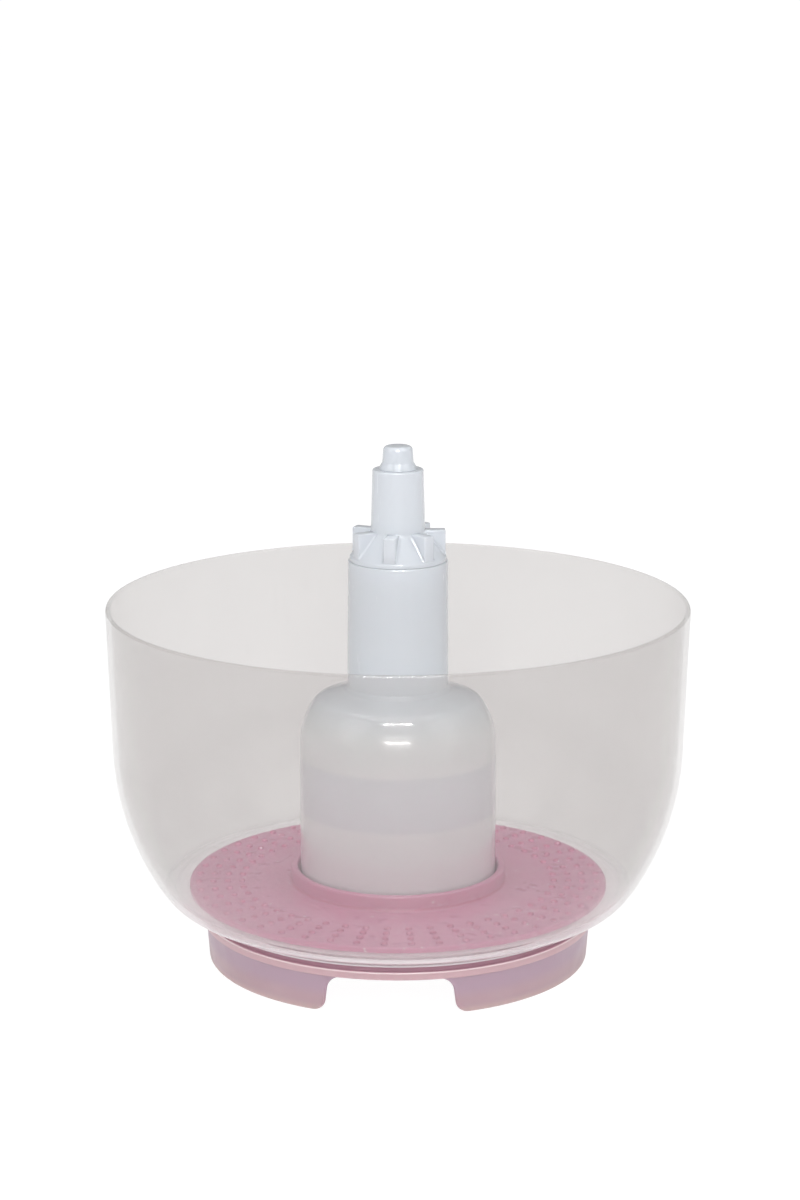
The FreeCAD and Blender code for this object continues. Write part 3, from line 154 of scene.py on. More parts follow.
# studio
FLOOR_SIZE, FLOOR_DROP = 6.0, 0.0002
LIGHT_AIM = (0.0, 0.0, 0.08)
WHITE, COOL_WHITE = (1.0, 1.0, 1.0), (0.97, 0.985, 1.0)
SOFT_LIGHTS = (("top_softbox", (0.0, 0.1, 1.5), (1.4, 1.4), 7.7, WHITE),
               ("left_softbox", (-1.3, -0.6, 0.9), (0.9, 1.2), 3.6, WHITE),
               ("right_softbox", (1.3, -0.6, 0.9), (0.9, 1.2), 3.6, WHITE),
               ("front_softbox", (0.0, -2.0, 1.0), (1.2, 0.8), 12.5, COOL_WHITE),
               ("front_lamp", (0.0, -1.3, 1.25), (0.3, 0.3), 3.6, WHITE))
STRIP_LIGHTS = (("low_strip", (0.0, -1.87, 0.90), (1.15, 0.08), 17.0),
                ("high_strip", (0.0, -0.88, 1.31), (0.8, 0.07), 11.0))
CAMERA_LENS, CAMERA_SENSOR, CAMERA_SHIFT = 92.62, 36.0, 0.0017
CAMERA_PLACE, CAMERA_TILT = (0.0, -1.0302, 0.3673), 76.832


# ---------------------------------------------------------------- profile helpers
def arc(start, heading, radius, turn):
    """Points of an arc in the profile plane; headings are degrees from straight down, inwards."""
    steps = max(2, math.ceil(math.radians(abs(turn)) / ARC_STEP * 2))
    first = math.radians(heading)
    points = []
    for step in range(1, steps + 1):
        angle = first + math.radians(turn) * step / steps
        inward = radius * (math.cos(first) - math.cos(angle))
        down = radius * (math.sin(angle) - math.sin(first))
        points.append((start[0] - inward, start[1] - down))
    return points


def rounded(corners, closed=True):
    """A run of points through corners (a, b, fillet radius)."""
    points = []
    count = len(corners)
    for index, (a, b, radius) in enumerate(corners):
        here = Vector((a, b))
        at_end = not closed and index in (0, count - 1)
        if not radius or at_end:
            points.append(tuple(here))
            continue
        back = (Vector(corners[index - 1][:2]) - here).normalized()
        ahead = (Vector(corners[(index + 1) % count][:2]) - here).normalized()
        half = back.angle(ahead) / 2.0
        centre = here + (back + ahead).normalized() * (radius / math.sin(half))
        leave = here + back * (radius / math.tan(half)) - centre
        sweep = math.pi - 2.0 * half
        steps = max(2, math.ceil(sweep / ARC_STEP / 1.5))
        side = 1.0 if back.x * ahead.y - back.y * ahead.x < 0 else -1.0
        for step in range(steps + 1):
            turn = side * sweep * step / steps
            spun = Vector((leave.x * math.cos(turn) - leave.y * math.sin(turn),
                           leave.x * math.sin(turn) + leave.y * math.cos(turn)))
            points.append(tuple(centre + spun))
    return points


def polar(radius, azimuth):
    turn = math.radians(azimuth)
    return radius * math.sin(turn), -radius * math.cos(turn)


# ---------------------------------------------------------------- mesh helpers
def bridge(mesh, first, second, wrap=True):
    """Faces between two runs of vertices; a run of one vertex is a pole."""
    count = max(len(first), len(second))
    for index in range(count if wrap else count - 1):
        following = (index + 1) % count
        if len(first) == 1:
            mesh.faces.new((first[0], second[index], second[following]))
        elif len(second) == 1:
            mesh.faces.new((first[following], first[index], second[0]))
        else:
            mesh.faces.new((first[following], first[index], second[index], second[following]))


def add_turned(mesh, profile, steps=TURN_STEPS, centre=(0.0, 0.0)):
    """A closed profile of (radius, height) turned about a vertical axis."""
    rings = []
    for radius, height in profile:
        around = 1 if radius < 1e-6 else steps
        ring = []
        for step in range(around):
            x, y = polar(radius, 360.0 * step / steps)
            ring.append(mesh.verts.new(((centre[0] + x) * MM, (centre[1] + y) * MM, height * MM)))
        rings.append(ring)
    for first, second in zip(rings, rings[1:] + rings[:1]):
        if len(first) > 1 or len(second) > 1:
            bridge(mesh, first, second)


def add_prism(mesh, outline, half_thickness, azimuth, bevel):
    """A plate whose (radius, height) outline stands on an azimuth, its edges bevelled."""
    along = Vector(polar(1.0, azimuth))
    across = Vector((-along.y, along.x))
    sides = []
    for side in (-half_thickness, half_thickness):
        run = []
        for radius, height in outline:
            spot = along * radius + across * side
            run.append(mesh.verts.new((spot.x * MM, spot.y * MM, height * MM)))
        sides.append(run)
    faces = [mesh.faces.new(sides[0]), mesh.faces.new(list(reversed(sides[1])))]
    count = len(outline)
    edges = []
    for index in range(count):
        following = (index + 1) % count
        faces.append(mesh.faces.new((sides[0][following], sides[0][index],
                                     sides[1][index], sides[1][following])))
    for face in faces:
        edges.extend(face.edges)
    bmesh.ops.bevel(mesh, geom=list(set(edges)), offset=bevel * MM, segments=3, profile=0.5,
                    affect="EDGES", clamp_overlap=True)


def finished(mesh, name, material):
    """An object from a bmesh: outward normals, smooth faces and sharp corners."""
    bmesh.ops.recalc_face_normals(mesh, faces=mesh.faces)
    data = bpy.data.meshes.new(name)
    mesh.to_mesh(data)
    mesh.free()
    data.shade_smooth()
    data.set_sharp_from_angle(angle=SHARP_ANGLE)
    piece = bpy.data.objects.new(name, data)
    bpy.context.scene.collection.objects.link(piece)
    data.materials.append(material)
    return piece


# ---------------------------------------------------------------- node helpers
def shader_tree(name):
    material = bpy.data.materials.new(name)
    material.use_nodes = True
    material.node_tree.nodes.clear()
    return material, material.node_tree


def add(tree, kind, settings=None, **inputs):
    """A node with its settings and its inputs; an input that is a socket is linked."""
    made = tree.nodes.new("ShaderNode" + kind)
    for key, value in (settings or {}).items():
        setattr(made, key, value)
    for key, value in inputs.items():
        socket = made.inputs[key.replace("_", " ")]
        if isinstance(value, bpy.types.NodeSocket):
            tree.links.new(value, socket)
        else:
            socket.default_value = value
    return made


def own_place(tree):
    return add(tree, "TexCoord").outputs["Object"]


def noise(tree, place, scale, detail=3.0, roughness=0.55, stretch=None, turn=(0.0, 0.0, 0.0)):
    if stretch:
        place = add(tree, "Mapping", Vector=place, Scale=stretch, Rotation=turn).outputs[0]
    made = add(tree, "TexNoise", Vector=place, Scale=scale, Detail=detail, Roughness=roughness)
    return made.outputs[0]


def spread(tree, value, low, high, to_low, to_high, smooth=True):
    """Maps a value from one range to another."""
    kind = "SMOOTHSTEP" if smooth else "LINEAR"
    made = add(tree, "MapRange", {"interpolation_type": kind}, Value=value)
    for key, number in (("From Min", low), ("From Max", high), ("To Min", to_low), ("To Max", to_high)):
        made.inputs[key].default_value = number
    return made.outputs[0]


def fade(tree, height, band, start, end):
    """A value that goes from start to end as the height crosses a band in millimetres."""
    return spread(tree, height, band[0] * MM, band[1] * MM, start, end)


def calc(tree, operation, first, second):
    made = add(tree, "Math", {"operation": operation})
    for socket, value in zip(made.inputs, (first, second)):
        if isinstance(value, bpy.types.NodeSocket):
            tree.links.new(value, socket)
        else:
            socket.default_value = value
    return made.outputs[0]


def tone(tree, factor, first, second):
    """A colour between two, each an RGB triple or a colour socket."""
    made = add(tree, "Mix", {"data_type": "RGBA"})
    tree.links.new(factor, made.inputs[0])
    for socket, value in ((made.inputs[6], first), (made.inputs[7], second)):
        if isinstance(value, bpy.types.NodeSocket):
            tree.links.new(value, socket)
        else:
            socket.default_value = (*value, 1.0)
    return made.outputs[2]


def level(tree, place):
    """The height of a place, in metres."""
    return add(tree, "SeparateXYZ", Vector=place).outputs[2]


def scratches(tree, place, scale=60.0):
    """Thin hairlines in two directions, from 0 to 1."""
    lines = []
    for turn in ((0.3, 0.1, 0.5), (1.1, 0.4, -0.7)):
        field = noise(tree, place, scale, 2.0, 0.5, (1.0, 14.0, 1.0), turn)
        lines.append(spread(tree, field, 0.66, 0.74, 0.0, 1.0))
    return calc(tree, "MAXIMUM", lines[0], lines[1])


def bumped(tree, height, strength, distance):
    return add(tree, "Bump", Height=height, Strength=strength, Distance=distance).outputs[0]


def join(tree, kind, first, second, factor=None):
    """Two shaders mixed by a factor, or added."""
    made = add(tree, kind)
    sockets = list(made.inputs)
    if isinstance(factor, bpy.types.NodeSocket):
        tree.links.new(factor, sockets.pop(0))
    elif factor is not None:
        sockets.pop(0).default_value = factor
    tree.links.new(first.outputs[0], sockets[0])
    tree.links.new(second.outputs[0], sockets[1])
    return made


def fix(shader, **values):
    """Sets a shader's own inputs."""
    for key, value in values.items():
        shader.inputs[key.replace("_", " ")].default_value = value


def surface(tree, shader):
    out = add(tree, "OutputMaterial")
    tree.links.new(shader, out.inputs["Surface"])


# ---------------------------------------------------------------- materials
def moulded(name, light, dark, roughness):
    """Injection moulded plastic: faint colour drift, mould grain and hairline wear."""
    grain, relief, worn = 1400.0, 0.00002, 0.12
    material, tree = shader_tree(name)
    place = own_place(tree)
    drift = spread(tree, noise(tree, place, 38.0, 4.0), 0.3, 0.7, 0.0, 1.0)
    fine = noise(tree, place, grain, 2.0, 0.6)
    marks = scratches(tree, place)
    polish = spread(tree, noise(tree, place, 95.0, 5.0), 0.25, 0.75, roughness - 0.06, roughness + 0.07)
    rough = calc(tree, "ADD", polish, calc(tree, "MULTIPLY", marks, worn))
    height = calc(tree, "SUBTRACT", fine, calc(tree, "MULTIPLY", marks, 0.6))
    shader = add(tree, "BsdfPrincipled", Base_Color=tone(tree, drift, light, dark), Roughness=rough,
                 Normal=bumped(tree, height, 0.5, relief))
    surface(tree, shader.outputs[0])
    return material


def metal(name, light, dark, roughness, stretch=(1.0, 1.0, 30.0)):
    """Turned or drawn metal with a brushed grain and dull spots."""
    material, tree = shader_tree(name)
    place = own_place(tree)
    brushed = noise(tree, place, 260.0, 3.0, 0.6, stretch)
    spots = noise(tree, place, 140.0, 4.0)
    rough = spread(tree, spots, 0.3, 0.7, roughness - 0.08, roughness + 0.12)
    shader = add(tree, "BsdfPrincipled", Base_Color=tone(tree, spots, light, dark), Roughness=rough,
                 Normal=bumped(tree, brushed, 0.35, 0.00003))
    fix(shader, Metallic=1.0)
    surface(tree, shader.outputs[0])
    return material


def rubber(name, light, dark):
    """Matt rubber with a dusty bloom."""
    material, tree = shader_tree(name)
    place = own_place(tree)
    bloom = noise(tree, place, 420.0, 5.0, 0.7)
    rough = spread(tree, bloom, 0.3, 0.7, 0.62, 0.85)
    shader = add(tree, "BsdfPrincipled", Base_Color=tone(tree, bloom, light, dark), Roughness=rough,
                 Normal=bumped(tree, bloom, 0.6, 0.00006))
    surface(tree, shader.outputs[0])
    return material


def clear_wall():
    """Slightly frosted clear plastic: hazier low down, glossy at a slant, with a painted glow from a weak
    emission on its bottom corner.
    """
    material, tree = shader_tree("clear_wall")
    place = own_place(tree)
    cloud = noise(tree, place, 22.0, 4.0)
    fine = noise(tree, place, 700.0, 3.0, 0.6)
    marks = scratches(tree, place, 34.0)
    height = level(tree, place)
    thick = fade(tree, height, CORNER_HAZE, 0.75, 0.100)
    thick = calc(tree, "MULTIPLY", thick, fade(tree, height, RING_CLEARER, 0.28, 1.0))
    thick = calc(tree, "MAXIMUM", thick, fade(tree, height, RING_EDGE, 0.85, 0.0))
    # painted glow: emission strength on the bowl's bottom corner, light that no lamp gives
    painted_corner_glow = calc(tree, "MULTIPLY", fade(tree, height, PAINTED_GLOW_BAND, 0.24, 0.0),
                 fade(tree, height, PAINTED_GLOW_FOOT, 0.0, 1.0))
    haze = calc(tree, "ADD", thick, spread(tree, cloud, 0.35, 0.7, -0.008, 0.014))
    haze = calc(tree, "ADD", haze, calc(tree, "MULTIPLY", marks, 0.02))
    slant = add(tree, "LayerWeight", Blend=0.5).outputs["Facing"]
    edge = calc(tree, "POWER", slant, 5.0)
    mirror = calc(tree, "ADD", calc(tree, "MULTIPLY", edge, 0.72), 0.035)
    rough = spread(tree, noise(tree, place, 160.0, 4.0), 0.3, 0.7, 0.09, 0.17)
    skin = bumped(tree, fine, 0.2, 0.00001)
    clear = add(tree, "BsdfTransparent", Color=(0.876, 0.867, 0.861, 1.0))
    milk = add(tree, "BsdfPrincipled", Base_Color=(0.93, 0.92, 0.93, 1.0), Roughness=rough, Normal=skin)
    glow = add(tree, "BsdfTranslucent", Color=(0.93, 0.90, 0.91, 1.0), Normal=skin)
    # this emission is the painted corner glow
    lamp = add(tree, "Emission", Color=(1.0, 0.93, 0.96, 1.0), Strength=painted_corner_glow)
    gloss = add(tree, "BsdfGlossy", Color=(1.0, 1.0, 1.0, 1.0), Roughness=rough, Normal=skin)
    frost = join(tree, "MixShader", milk, glow, 0.4)
    lit = join(tree, "AddShader", frost, lamp)
    through = join(tree, "MixShader", clear, lit, haze)
    surface(tree, join(tree, "MixShader", through, gloss, mirror).outputs[0])
    return material


def milky_white():
    """Glossy milky plastic, denser on the head; the lower column is painted lighter as bounce light, and a
    painted darker grey band of shade lies over the battery tray's ring.
    """
    material, tree = shader_tree("milky_white")
    place = own_place(tree)
    height = level(tree, place)
    # painted shade: a darker grey band over the height of the battery tray's ring inside the shell
    low, high = ((edge - BAND_SOFTNESS, edge + BAND_SOFTNESS) for edge in TRAY_SHADE_BAND)
    inside = calc(tree, "MULTIPLY", fade(tree, height, low, 0.0, 1.0), fade(tree, height, high, 1.0, 0.0))
    band = calc(tree, "MULTIPLY", inside, 0.8)
    drift = noise(tree, place, 30.0, 4.0)
    # painted bounce light: the lower column's colour is far lighter than the tower's, standing in for light
    # bounced from the bowl and disc
    tower = tone(tree, drift, (0.69, 0.73, 0.79), (0.73, 0.76, 0.80))
    lower = tone(tree, drift, (0.93, 0.965, 1.0), (0.96, 0.985, 1.0))
    plain = tone(tree, fade(tree, height, BOUNCE_FADE_BAND, 0.0, 1.0), lower, tower)
    colour = tone(tree, band, plain, (0.81, 0.82, 0.91))
    marks = scratches(tree, place)
    polish = spread(tree, noise(tree, place, 120.0, 5.0), 0.25, 0.75, 0.13, 0.22)
    rough = calc(tree, "ADD", polish, calc(tree, "MULTIPLY", marks, 0.12))
    fine = calc(tree, "SUBTRACT", noise(tree, place, 900.0, 2.0), calc(tree, "MULTIPLY", marks, 0.5))
    shader = add(tree, "BsdfPrincipled", Base_Color=colour, Roughness=rough,
                 Normal=bumped(tree, fine, 0.3, 0.00002))
    tree.links.new(fade(tree, height, HEAD_START, 0.7, 0.1), shader.inputs["Subsurface Weight"])
    fix(shader, Subsurface_Radius=(1.0, 0.92, 0.95), Subsurface_Scale=0.004)
    fix(shader, Coat_Weight=0.6, Coat_Roughness=0.035)
    surface(tree, shader.outputs[0])
    return material


def pink_disc():
    """Soft pink plastic with darker nub tips, pale scuffs and a few dried specks."""
    material, tree = shader_tree("pink_disc")
    place = own_place(tree)
    height = level(tree, place)
    drift = noise(tree, place, 46.0, 5.0)
    plain = tone(tree, drift, (0.72, 0.24, 0.41), (0.79, 0.32, 0.49))
    nub = calc(tree, "MULTIPLY", fade(tree, height, NUB_RISE, 0.0, 1.0),
               fade(tree, height, NUB_END, 1.0, 0.0))
    colour = tone(tree, nub, plain, (0.71, 0.20, 0.36))
    specks = spread(tree, noise(tree, place, 520.0, 1.0), 0.735, 0.75, 0.0, 0.8)
    scuffs = calc(tree, "MULTIPLY", spread(tree, noise(tree, place, 75.0, 6.0, 0.75), 0.56, 0.7, 0.0, 0.5),
                  spread(tree, noise(tree, place, 14.0, 2.0), 0.45, 0.65, 0.0, 1.0))
    colour = tone(tree, calc(tree, "MAXIMUM", specks, scuffs), colour, (0.90, 0.78, 0.84))
    rough = spread(tree, noise(tree, place, 210.0, 5.0), 0.3, 0.7, 0.26, 0.42)
    shader = add(tree, "BsdfPrincipled", Base_Color=colour, Roughness=rough,
                 Normal=bumped(tree, noise(tree, place, 1200.0), 0.4, 0.00003))
    fix(shader, Subsurface_Weight=0.25, Subsurface_Radius=(1.0, 0.5, 0.7), Subsurface_Scale=0.002)
    fix(shader, Coat_Weight=0.4, Coat_Roughness=0.06)
    surface(tree, shader.outputs[0])
    return material


def pink_base():
    """Dusty pink satin plastic: a painted violet-grey shade on the upper feet, beige painted bounce light
    along their lower edge and a painted highlight line round the flange.
    """
    material, tree = shader_tree("pink_base")
    place = own_place(tree)
    height = level(tree, place)
    drift = spread(tree, noise(tree, place, 34.0, 4.0), 0.3, 0.7, 0.0, 1.0)
    plain = tone(tree, drift, (0.45, 0.30, 0.335), (0.49, 0.34, 0.375))
    # painted shade: the upper feet are tinted violet-grey
    violet = calc(tree, "MULTIPLY", fade(tree, height, FOOT_SHADE_BAND, 0.0, 0.75),
                  fade(tree, height, SKIRT_END, 1.0, 0.0))
    colour = tone(tree, violet, plain, (0.43, 0.305, 0.39))
    # painted highlight: a pale line along the flange's top edge
    edge = calc(tree, "MULTIPLY", fade(tree, height, FLANGE_HIGHLIGHT_START, 0.0, 1.0),
                fade(tree, height, FLANGE_HIGHLIGHT_END, 1.0, 0.0))
    colour = tone(tree, fade(tree, height, FLANGE_START, 0.0, 1.0), colour, (0.59, 0.39, 0.42))
    colour = tone(tree, fade(tree, height, FLANGE_FACE, 0.0, 1.0), colour, (0.60, 0.33, 0.41))
    colour = tone(tree, edge, colour, (0.90, 0.74, 0.74))
    # painted bounce light: the feet's lowest few millimetres are a lighter beige
    colour = tone(tree, fade(tree, height, FOOT_BOUNCE_BAND, 0.8, 0.0), colour, (0.54, 0.40, 0.385))
    marks = scratches(tree, place, 48.0)
    polish = spread(tree, noise(tree, place, 150.0, 5.0), 0.3, 0.7, 0.30, 0.44)
    rough = calc(tree, "ADD", polish, calc(tree, "MULTIPLY", marks, 0.15))
    fine = calc(tree, "SUBTRACT", noise(tree, place, 1500.0, 2.0), calc(tree, "MULTIPLY", marks, 0.6))
    shader = add(tree, "BsdfPrincipled", Base_Color=colour, Roughness=rough,
                 Normal=bumped(tree, fine, 0.5, 0.00003))
    fix(shader, Subsurface_Weight=0.3, Subsurface_Radius=(1.0, 0.6, 0.75), Subsurface_Scale=0.0025)
    fix(shader, Coat_Weight=0.3, Coat_Roughness=0.10)
    surface(tree, shader.outputs[0])
    return material


def cell_wrap():
    """Shrink sleeve of a battery cell: dark body with a copper-coloured end."""
    material, tree = shader_tree("cell_wrap")
    place = own_place(tree)
    drift = noise(tree, place, 60.0, 4.0)
    end = fade(tree, level(tree, place), WRAP_END, 0.0, 1.0)
    plain = tone(tree, drift, (0.13, 0.14, 0.16), (0.17, 0.18, 0.20))
    shader = add(tree, "BsdfPrincipled", Base_Color=tone(tree, end, plain, (0.62, 0.45, 0.12)),
                 Roughness=spread(tree, drift, 0.3, 0.7, 0.2, 0.35),
                 Normal=bumped(tree, noise(tree, place, 500.0), 0.3, 0.00002))
    surface(tree, shader.outputs[0])
    return material


def all_materials():
    """One procedural material for each of the record's slots."""
    return {
        "clear_bowl": clear_wall(),
        "seal_rubber": rubber("seal_rubber", (0.30, 0.31, 0.33), (0.22, 0.23, 0.25)),
        "pink_disc": pink_disc(),
        "milky_white": milky_white(),
        "bronze": metal("bronze", (0.72, 0.47, 0.24), (0.58, 0.36, 0.18), 0.34),
        "steel": metal("steel", (0.70, 0.70, 0.71), (0.56, 0.56, 0.58), 0.28),
        "gear_plastic": moulded("gear_plastic", (0.84, 0.83, 0.78), (0.78, 0.77, 0.72), 0.38),
        "brass": metal("brass", (0.80, 0.62, 0.28), (0.70, 0.52, 0.22), 0.26),
        "inner_plastic": moulded("inner_plastic", (0.10, 0.10, 0.11), (0.14, 0.14, 0.15), 0.45),
        "motor_steel": metal("motor_steel", (0.62, 0.62, 0.63), (0.50, 0.50, 0.52), 0.36),
        "magnet": metal("magnet", (0.16, 0.16, 0.17), (0.10, 0.10, 0.11), 0.55, (1.0, 1.0, 1.0)),
        "tray_plastic": moulded("tray_plastic", (0.52, 0.53, 0.58), (0.47, 0.48, 0.53), 0.42),
        "cell_wrap": cell_wrap(),
        "spring_steel": metal("spring_steel", (0.74, 0.73, 0.70), (0.62, 0.61, 0.58), 0.24),
        "pink_base": pink_base(),
        "foot_rubber": rubber("foot_rubber", (0.70, 0.68, 0.67), (0.60, 0.58, 0.58)),
        "switch_black": moulded("switch_black", (0.035, 0.035, 0.038), (0.05, 0.05, 0.053), 0.40),
        "button_white": moulded("button_white", (0.80, 0.80, 0.79), (0.74, 0.74, 0.73), 0.30),
        "wire_red": moulded("wire_red", (0.55, 0.03, 0.03), (0.45, 0.02, 0.02), 0.34),
    }


materials = all_materials()


def dress_cad_nodes():
    """Gives every carried-over CAD node its slot's material."""
    for row in frame["record"]["subparts"]:
        data = frame["nodes"][row["node"]].data
        if not data.materials:
            data.materials.append(None)
        for index in range(len(data.materials)):
            data.materials[index] = materials[row["material_slot"]]


def place_piece(mesh, name, slot, body, node):
    """A finished piece that rides on a body and stands for a CAD node."""
    piece = finished(mesh, name, materials[slot])
    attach(piece, body)
    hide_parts(node)
    return piece


# ---------------------------------------------------------------- bowl
def bowl_bend(start, inset, corner):
    """The bend from the straight wall down to the floor at a depth inside the outer surface."""
    points = [start]
    heading = BOWL_TAPER
    for radius, turn in BOWL_BENDS:
        points += arc(points[-1], heading, radius - inset, turn)
        heading += turn
    if corner is None:
        corner = (points[-1][1] - FLOOR_TOP) / (1.0 - math.sin(math.radians(heading)))
    return points + arc(points[-1], heading, corner, 90.0 - heading)


def bowl_profile():
    """The wall's closed profile: half-round rim, inside, floor, foot ring and outside."""
    taper = math.radians(BOWL_TAPER)
    side = Vector((-math.cos(taper), math.sin(taper))) * BOWL_WALL
    half = BOWL_WALL / 2.0
    outer_top = Vector((RIM_RADIUS, RIM_HEIGHT - half))
    middle = outer_top + side / 2.0
    rim = []
    for step in range(RIM_STEPS + 1):
        turn = math.pi * step / RIM_STEPS
        rim.append((middle.x + half * math.cos(turn), middle.y + half * math.sin(turn)))
    inner_start = Vector(BOWL_SHOULDER) + side
    outside = bowl_bend(BOWL_SHOULDER, 0.0, BOWL_CORNER)
    inside = bowl_bend(tuple(inner_start), BOWL_WALL, None)
    foot = rounded([(FOOT_RING_OUTER + 1.5, outside[-1][1], 0.0),
                    (FOOT_RING_OUTER, outside[-1][1], 0.5),
                    (FOOT_RING_OUTER, FOOT_RING_BOTTOM, 0.4),
                    (FOOT_RING_INNER, FOOT_RING_BOTTOM, 0.4),
                    (FOOT_RING_INNER, FLOOR_BOTTOM, 0.3),
                    (FLOOR_HOLE, FLOOR_BOTTOM, 0.0),
                    (FLOOR_HOLE, FLOOR_TOP, 0.0)], closed=False)
    return rim + inside + list(reversed(foot)) + list(reversed(outside))


def make_bowl():
    mesh = bmesh.new()
    add_turned(mesh, bowl_profile(), steps=BOWL_STEPS)
    return place_piece(mesh, "wash_bowl", "clear_bowl", "base", "bowl")


# ---------------------------------------------------------------- scrub disc
def add_nub(mesh, azimuth, ring):
    centre = polar(ring, azimuth)
    profile = [(radius, DISC_TOP + height) for radius, height in NUB_SHAPE]
    axis = [(0.0, profile[-1][1]), (0.0, profile[0][1])]
    add_turned(mesh, profile + axis, steps=NUB_STEPS, centre=centre)


def make_disc():
    mesh = bmesh.new()
    add_turned(mesh, rounded([(COLLAR_INNER, DISC_BOTTOM, 0.5),
                              (DISC_RADIUS, DISC_BOTTOM, 0.7),
                              (DISC_RADIUS, DISC_TOP, 0.7),
                              (COLLAR_OUTER, DISC_TOP, 1.6),
                              (COLLAR_OUTER, COLLAR_TOP, 0.9),
                              (COLLAR_INNER, COLLAR_TOP, 0.9)]))
    for ring in NUB_RINGS:
        for row in range(NUB_ROWS):
            add_nub(mesh, NUB_FIRST + 360.0 / NUB_ROWS * row, ring)
    return place_piece(mesh, "nubbed_disc", "pink_disc", "disc", "scrub_disc")


# ---------------------------------------------------------------- column
def shoulder(inset):
    """The two shoulder arcs, upwards from the lower cylinder."""
    points = [(COLUMN_RADIUS - inset, SHOULDER_START)]
    angle = 0.0
    for radius, turn in SHOULDER_BENDS:
        start = points[-1]
        steps = max(4, int(turn / 4.0))
        for step in range(1, steps + 1):
            first, last = math.radians(angle), math.radians(angle + turn * step / steps)
            points.append((start[0] - (radius - inset) * (math.cos(first) - math.cos(last)),
                           start[1] + (radius - inset) * (math.sin(last) - math.sin(first))))
        angle += turn
    return points


def make_column():
    outside = [(*point, 0.0) for point in shoulder(0.0)]
    inside = [(*point, 0.0) for point in shoulder(COLUMN_WALL)]
    bore = TOWER_RADIUS - TOWER_WALL
    profile = [(COLUMN_RADIUS, COLUMN_BOTTOM, 0.3)] + outside
    profile += [(TOWER_FOOT[0] + 0.2, TOWER_FOOT[1], 0.5),
                (TOWER_RADIUS, TOWER_FOOT[1] + 1.4, 0.4),
                (TOWER_TOP_RADIUS, TOWER_TOP, 0.6),
                (SEAL_BORE, TOWER_TOP, 0.2),
                (SEAL_BORE, CEILING, 0.0),
                (bore - 0.3, CEILING, 0.0),
                (bore, TOWER_FOOT[1] - 0.8, 0.0)]
    profile += list(reversed(inside))
    profile += [(COLUMN_RADIUS - COLUMN_WALL, COLUMN_BOTTOM, 0.3)]
    mesh = bmesh.new()
    add_turned(mesh, rounded(profile))
    return place_piece(mesh, "milky_column", "milky_white", "base", "column_shell")


# ---------------------------------------------------------------- head
def cone_radius(height):
    share = (height - CONE_BOTTOM) / (CONE_TOP - CONE_BOTTOM)
    return HEAD_RADIUS + (NECK_RADIUS - HEAD_RADIUS) * share


def fillet_section(radius, height):
    """A fin fillet's closed section at one height, as (reach along the fin, distance across, height)."""
    face = FIN_THICKNESS / 2.0
    foot = math.sqrt(radius ** 2 - face ** 2)
    buried = (foot - 1.0, face - 0.6, height - 0.2)
    section = [buried, (foot + 0.2, face - 0.1, height + FIN_FILLET)]
    for degrees in (22.5, 45.0, 67.5, 90.0):
        bend = math.radians(degrees)
        out = face + FIN_FILLET * (1.0 - math.cos(bend))
        rise = FIN_FILLET * (1.0 - math.sin(bend)) if degrees < 90.0 else -0.05
        section.append((math.sqrt(radius ** 2 - out ** 2), out, height + rise))
    return section


def add_fin_fillet(mesh, azimuth, side):
    """The hollow fillet along one side of a fin's foot on the cone."""
    along = Vector(polar(1.0, azimuth))
    across = Vector((-along.y, along.x)) * side
    first, last = CONE_BOTTOM + 0.4, CONE_TOP - FIN_FILLET
    rings = []
    for step in range(FILLET_STEPS + 1):
        height = first + (last - first) * step / FILLET_STEPS
        ring = []
        for reach, lateral, level_here in fillet_section(cone_radius(height), height):
            spot = along * reach + across * lateral
            ring.append(mesh.verts.new((spot.x * MM, spot.y * MM, level_here * MM)))
        rings.append(ring)
    for below, above in zip(rings, rings[1:]):
        bridge(mesh, below, above)
    mesh.faces.new(rings[0])
    mesh.faces.new(list(reversed(rings[-1])))


def add_fin(mesh, azimuth):
    root = NECK_RADIUS - 1.5
    outline = [(root, FIN_TOP), (FIN_REACH, FIN_TOP), (FIN_REACH, CONE_BOTTOM),
               (HEAD_RADIUS - 2.6, CONE_BOTTOM), (root, CONE_TOP - 1.5)]
    add_prism(mesh, outline, FIN_THICKNESS / 2.0, azimuth, FIN_BEVEL)
    for side in (-1, 1):
        add_fin_fillet(mesh, azimuth, side)


def make_head():
    mesh = bmesh.new()
    skirt = HEAD_BOTTOM - HEAD_SKIRT
    lid_bottom = NECK_TOP - HEAD_LID
    add_turned(mesh, rounded([(HEAD_RADIUS, skirt, 0.12),
                              (HEAD_RADIUS, CONE_BOTTOM, 0.5),
                              (NECK_RADIUS, CONE_TOP, 1.4),
                              (NECK_TOP_RADIUS, NECK_TOP, 0.6),
                              (SHAFT_RADIUS, NECK_TOP, 0.2),
                              (SHAFT_RADIUS, HEAD_BOTTOM, 0.2),
                              (HUB_RADIUS, HEAD_BOTTOM, 0.2),
                              (HUB_RADIUS, lid_bottom, 0.4),
                              (NECK_TOP_RADIUS - HEAD_WALL, lid_bottom, 0.4),
                              (NECK_RADIUS - HEAD_WALL, CONE_TOP + 0.4, 0.5),
                              (HEAD_RADIUS - HEAD_WALL, HEAD_BOTTOM + 0.6, 0.2),
                              (HEAD_RADIUS - HEAD_WALL, skirt, 0.12)]), steps=HEAD_STEPS)
    for number in range(FIN_COUNT):
        add_fin(mesh, FIN_FIRST + 360.0 / FIN_COUNT * number)
    return place_piece(mesh, "finned_head", "milky_white", "head", "drive_head")


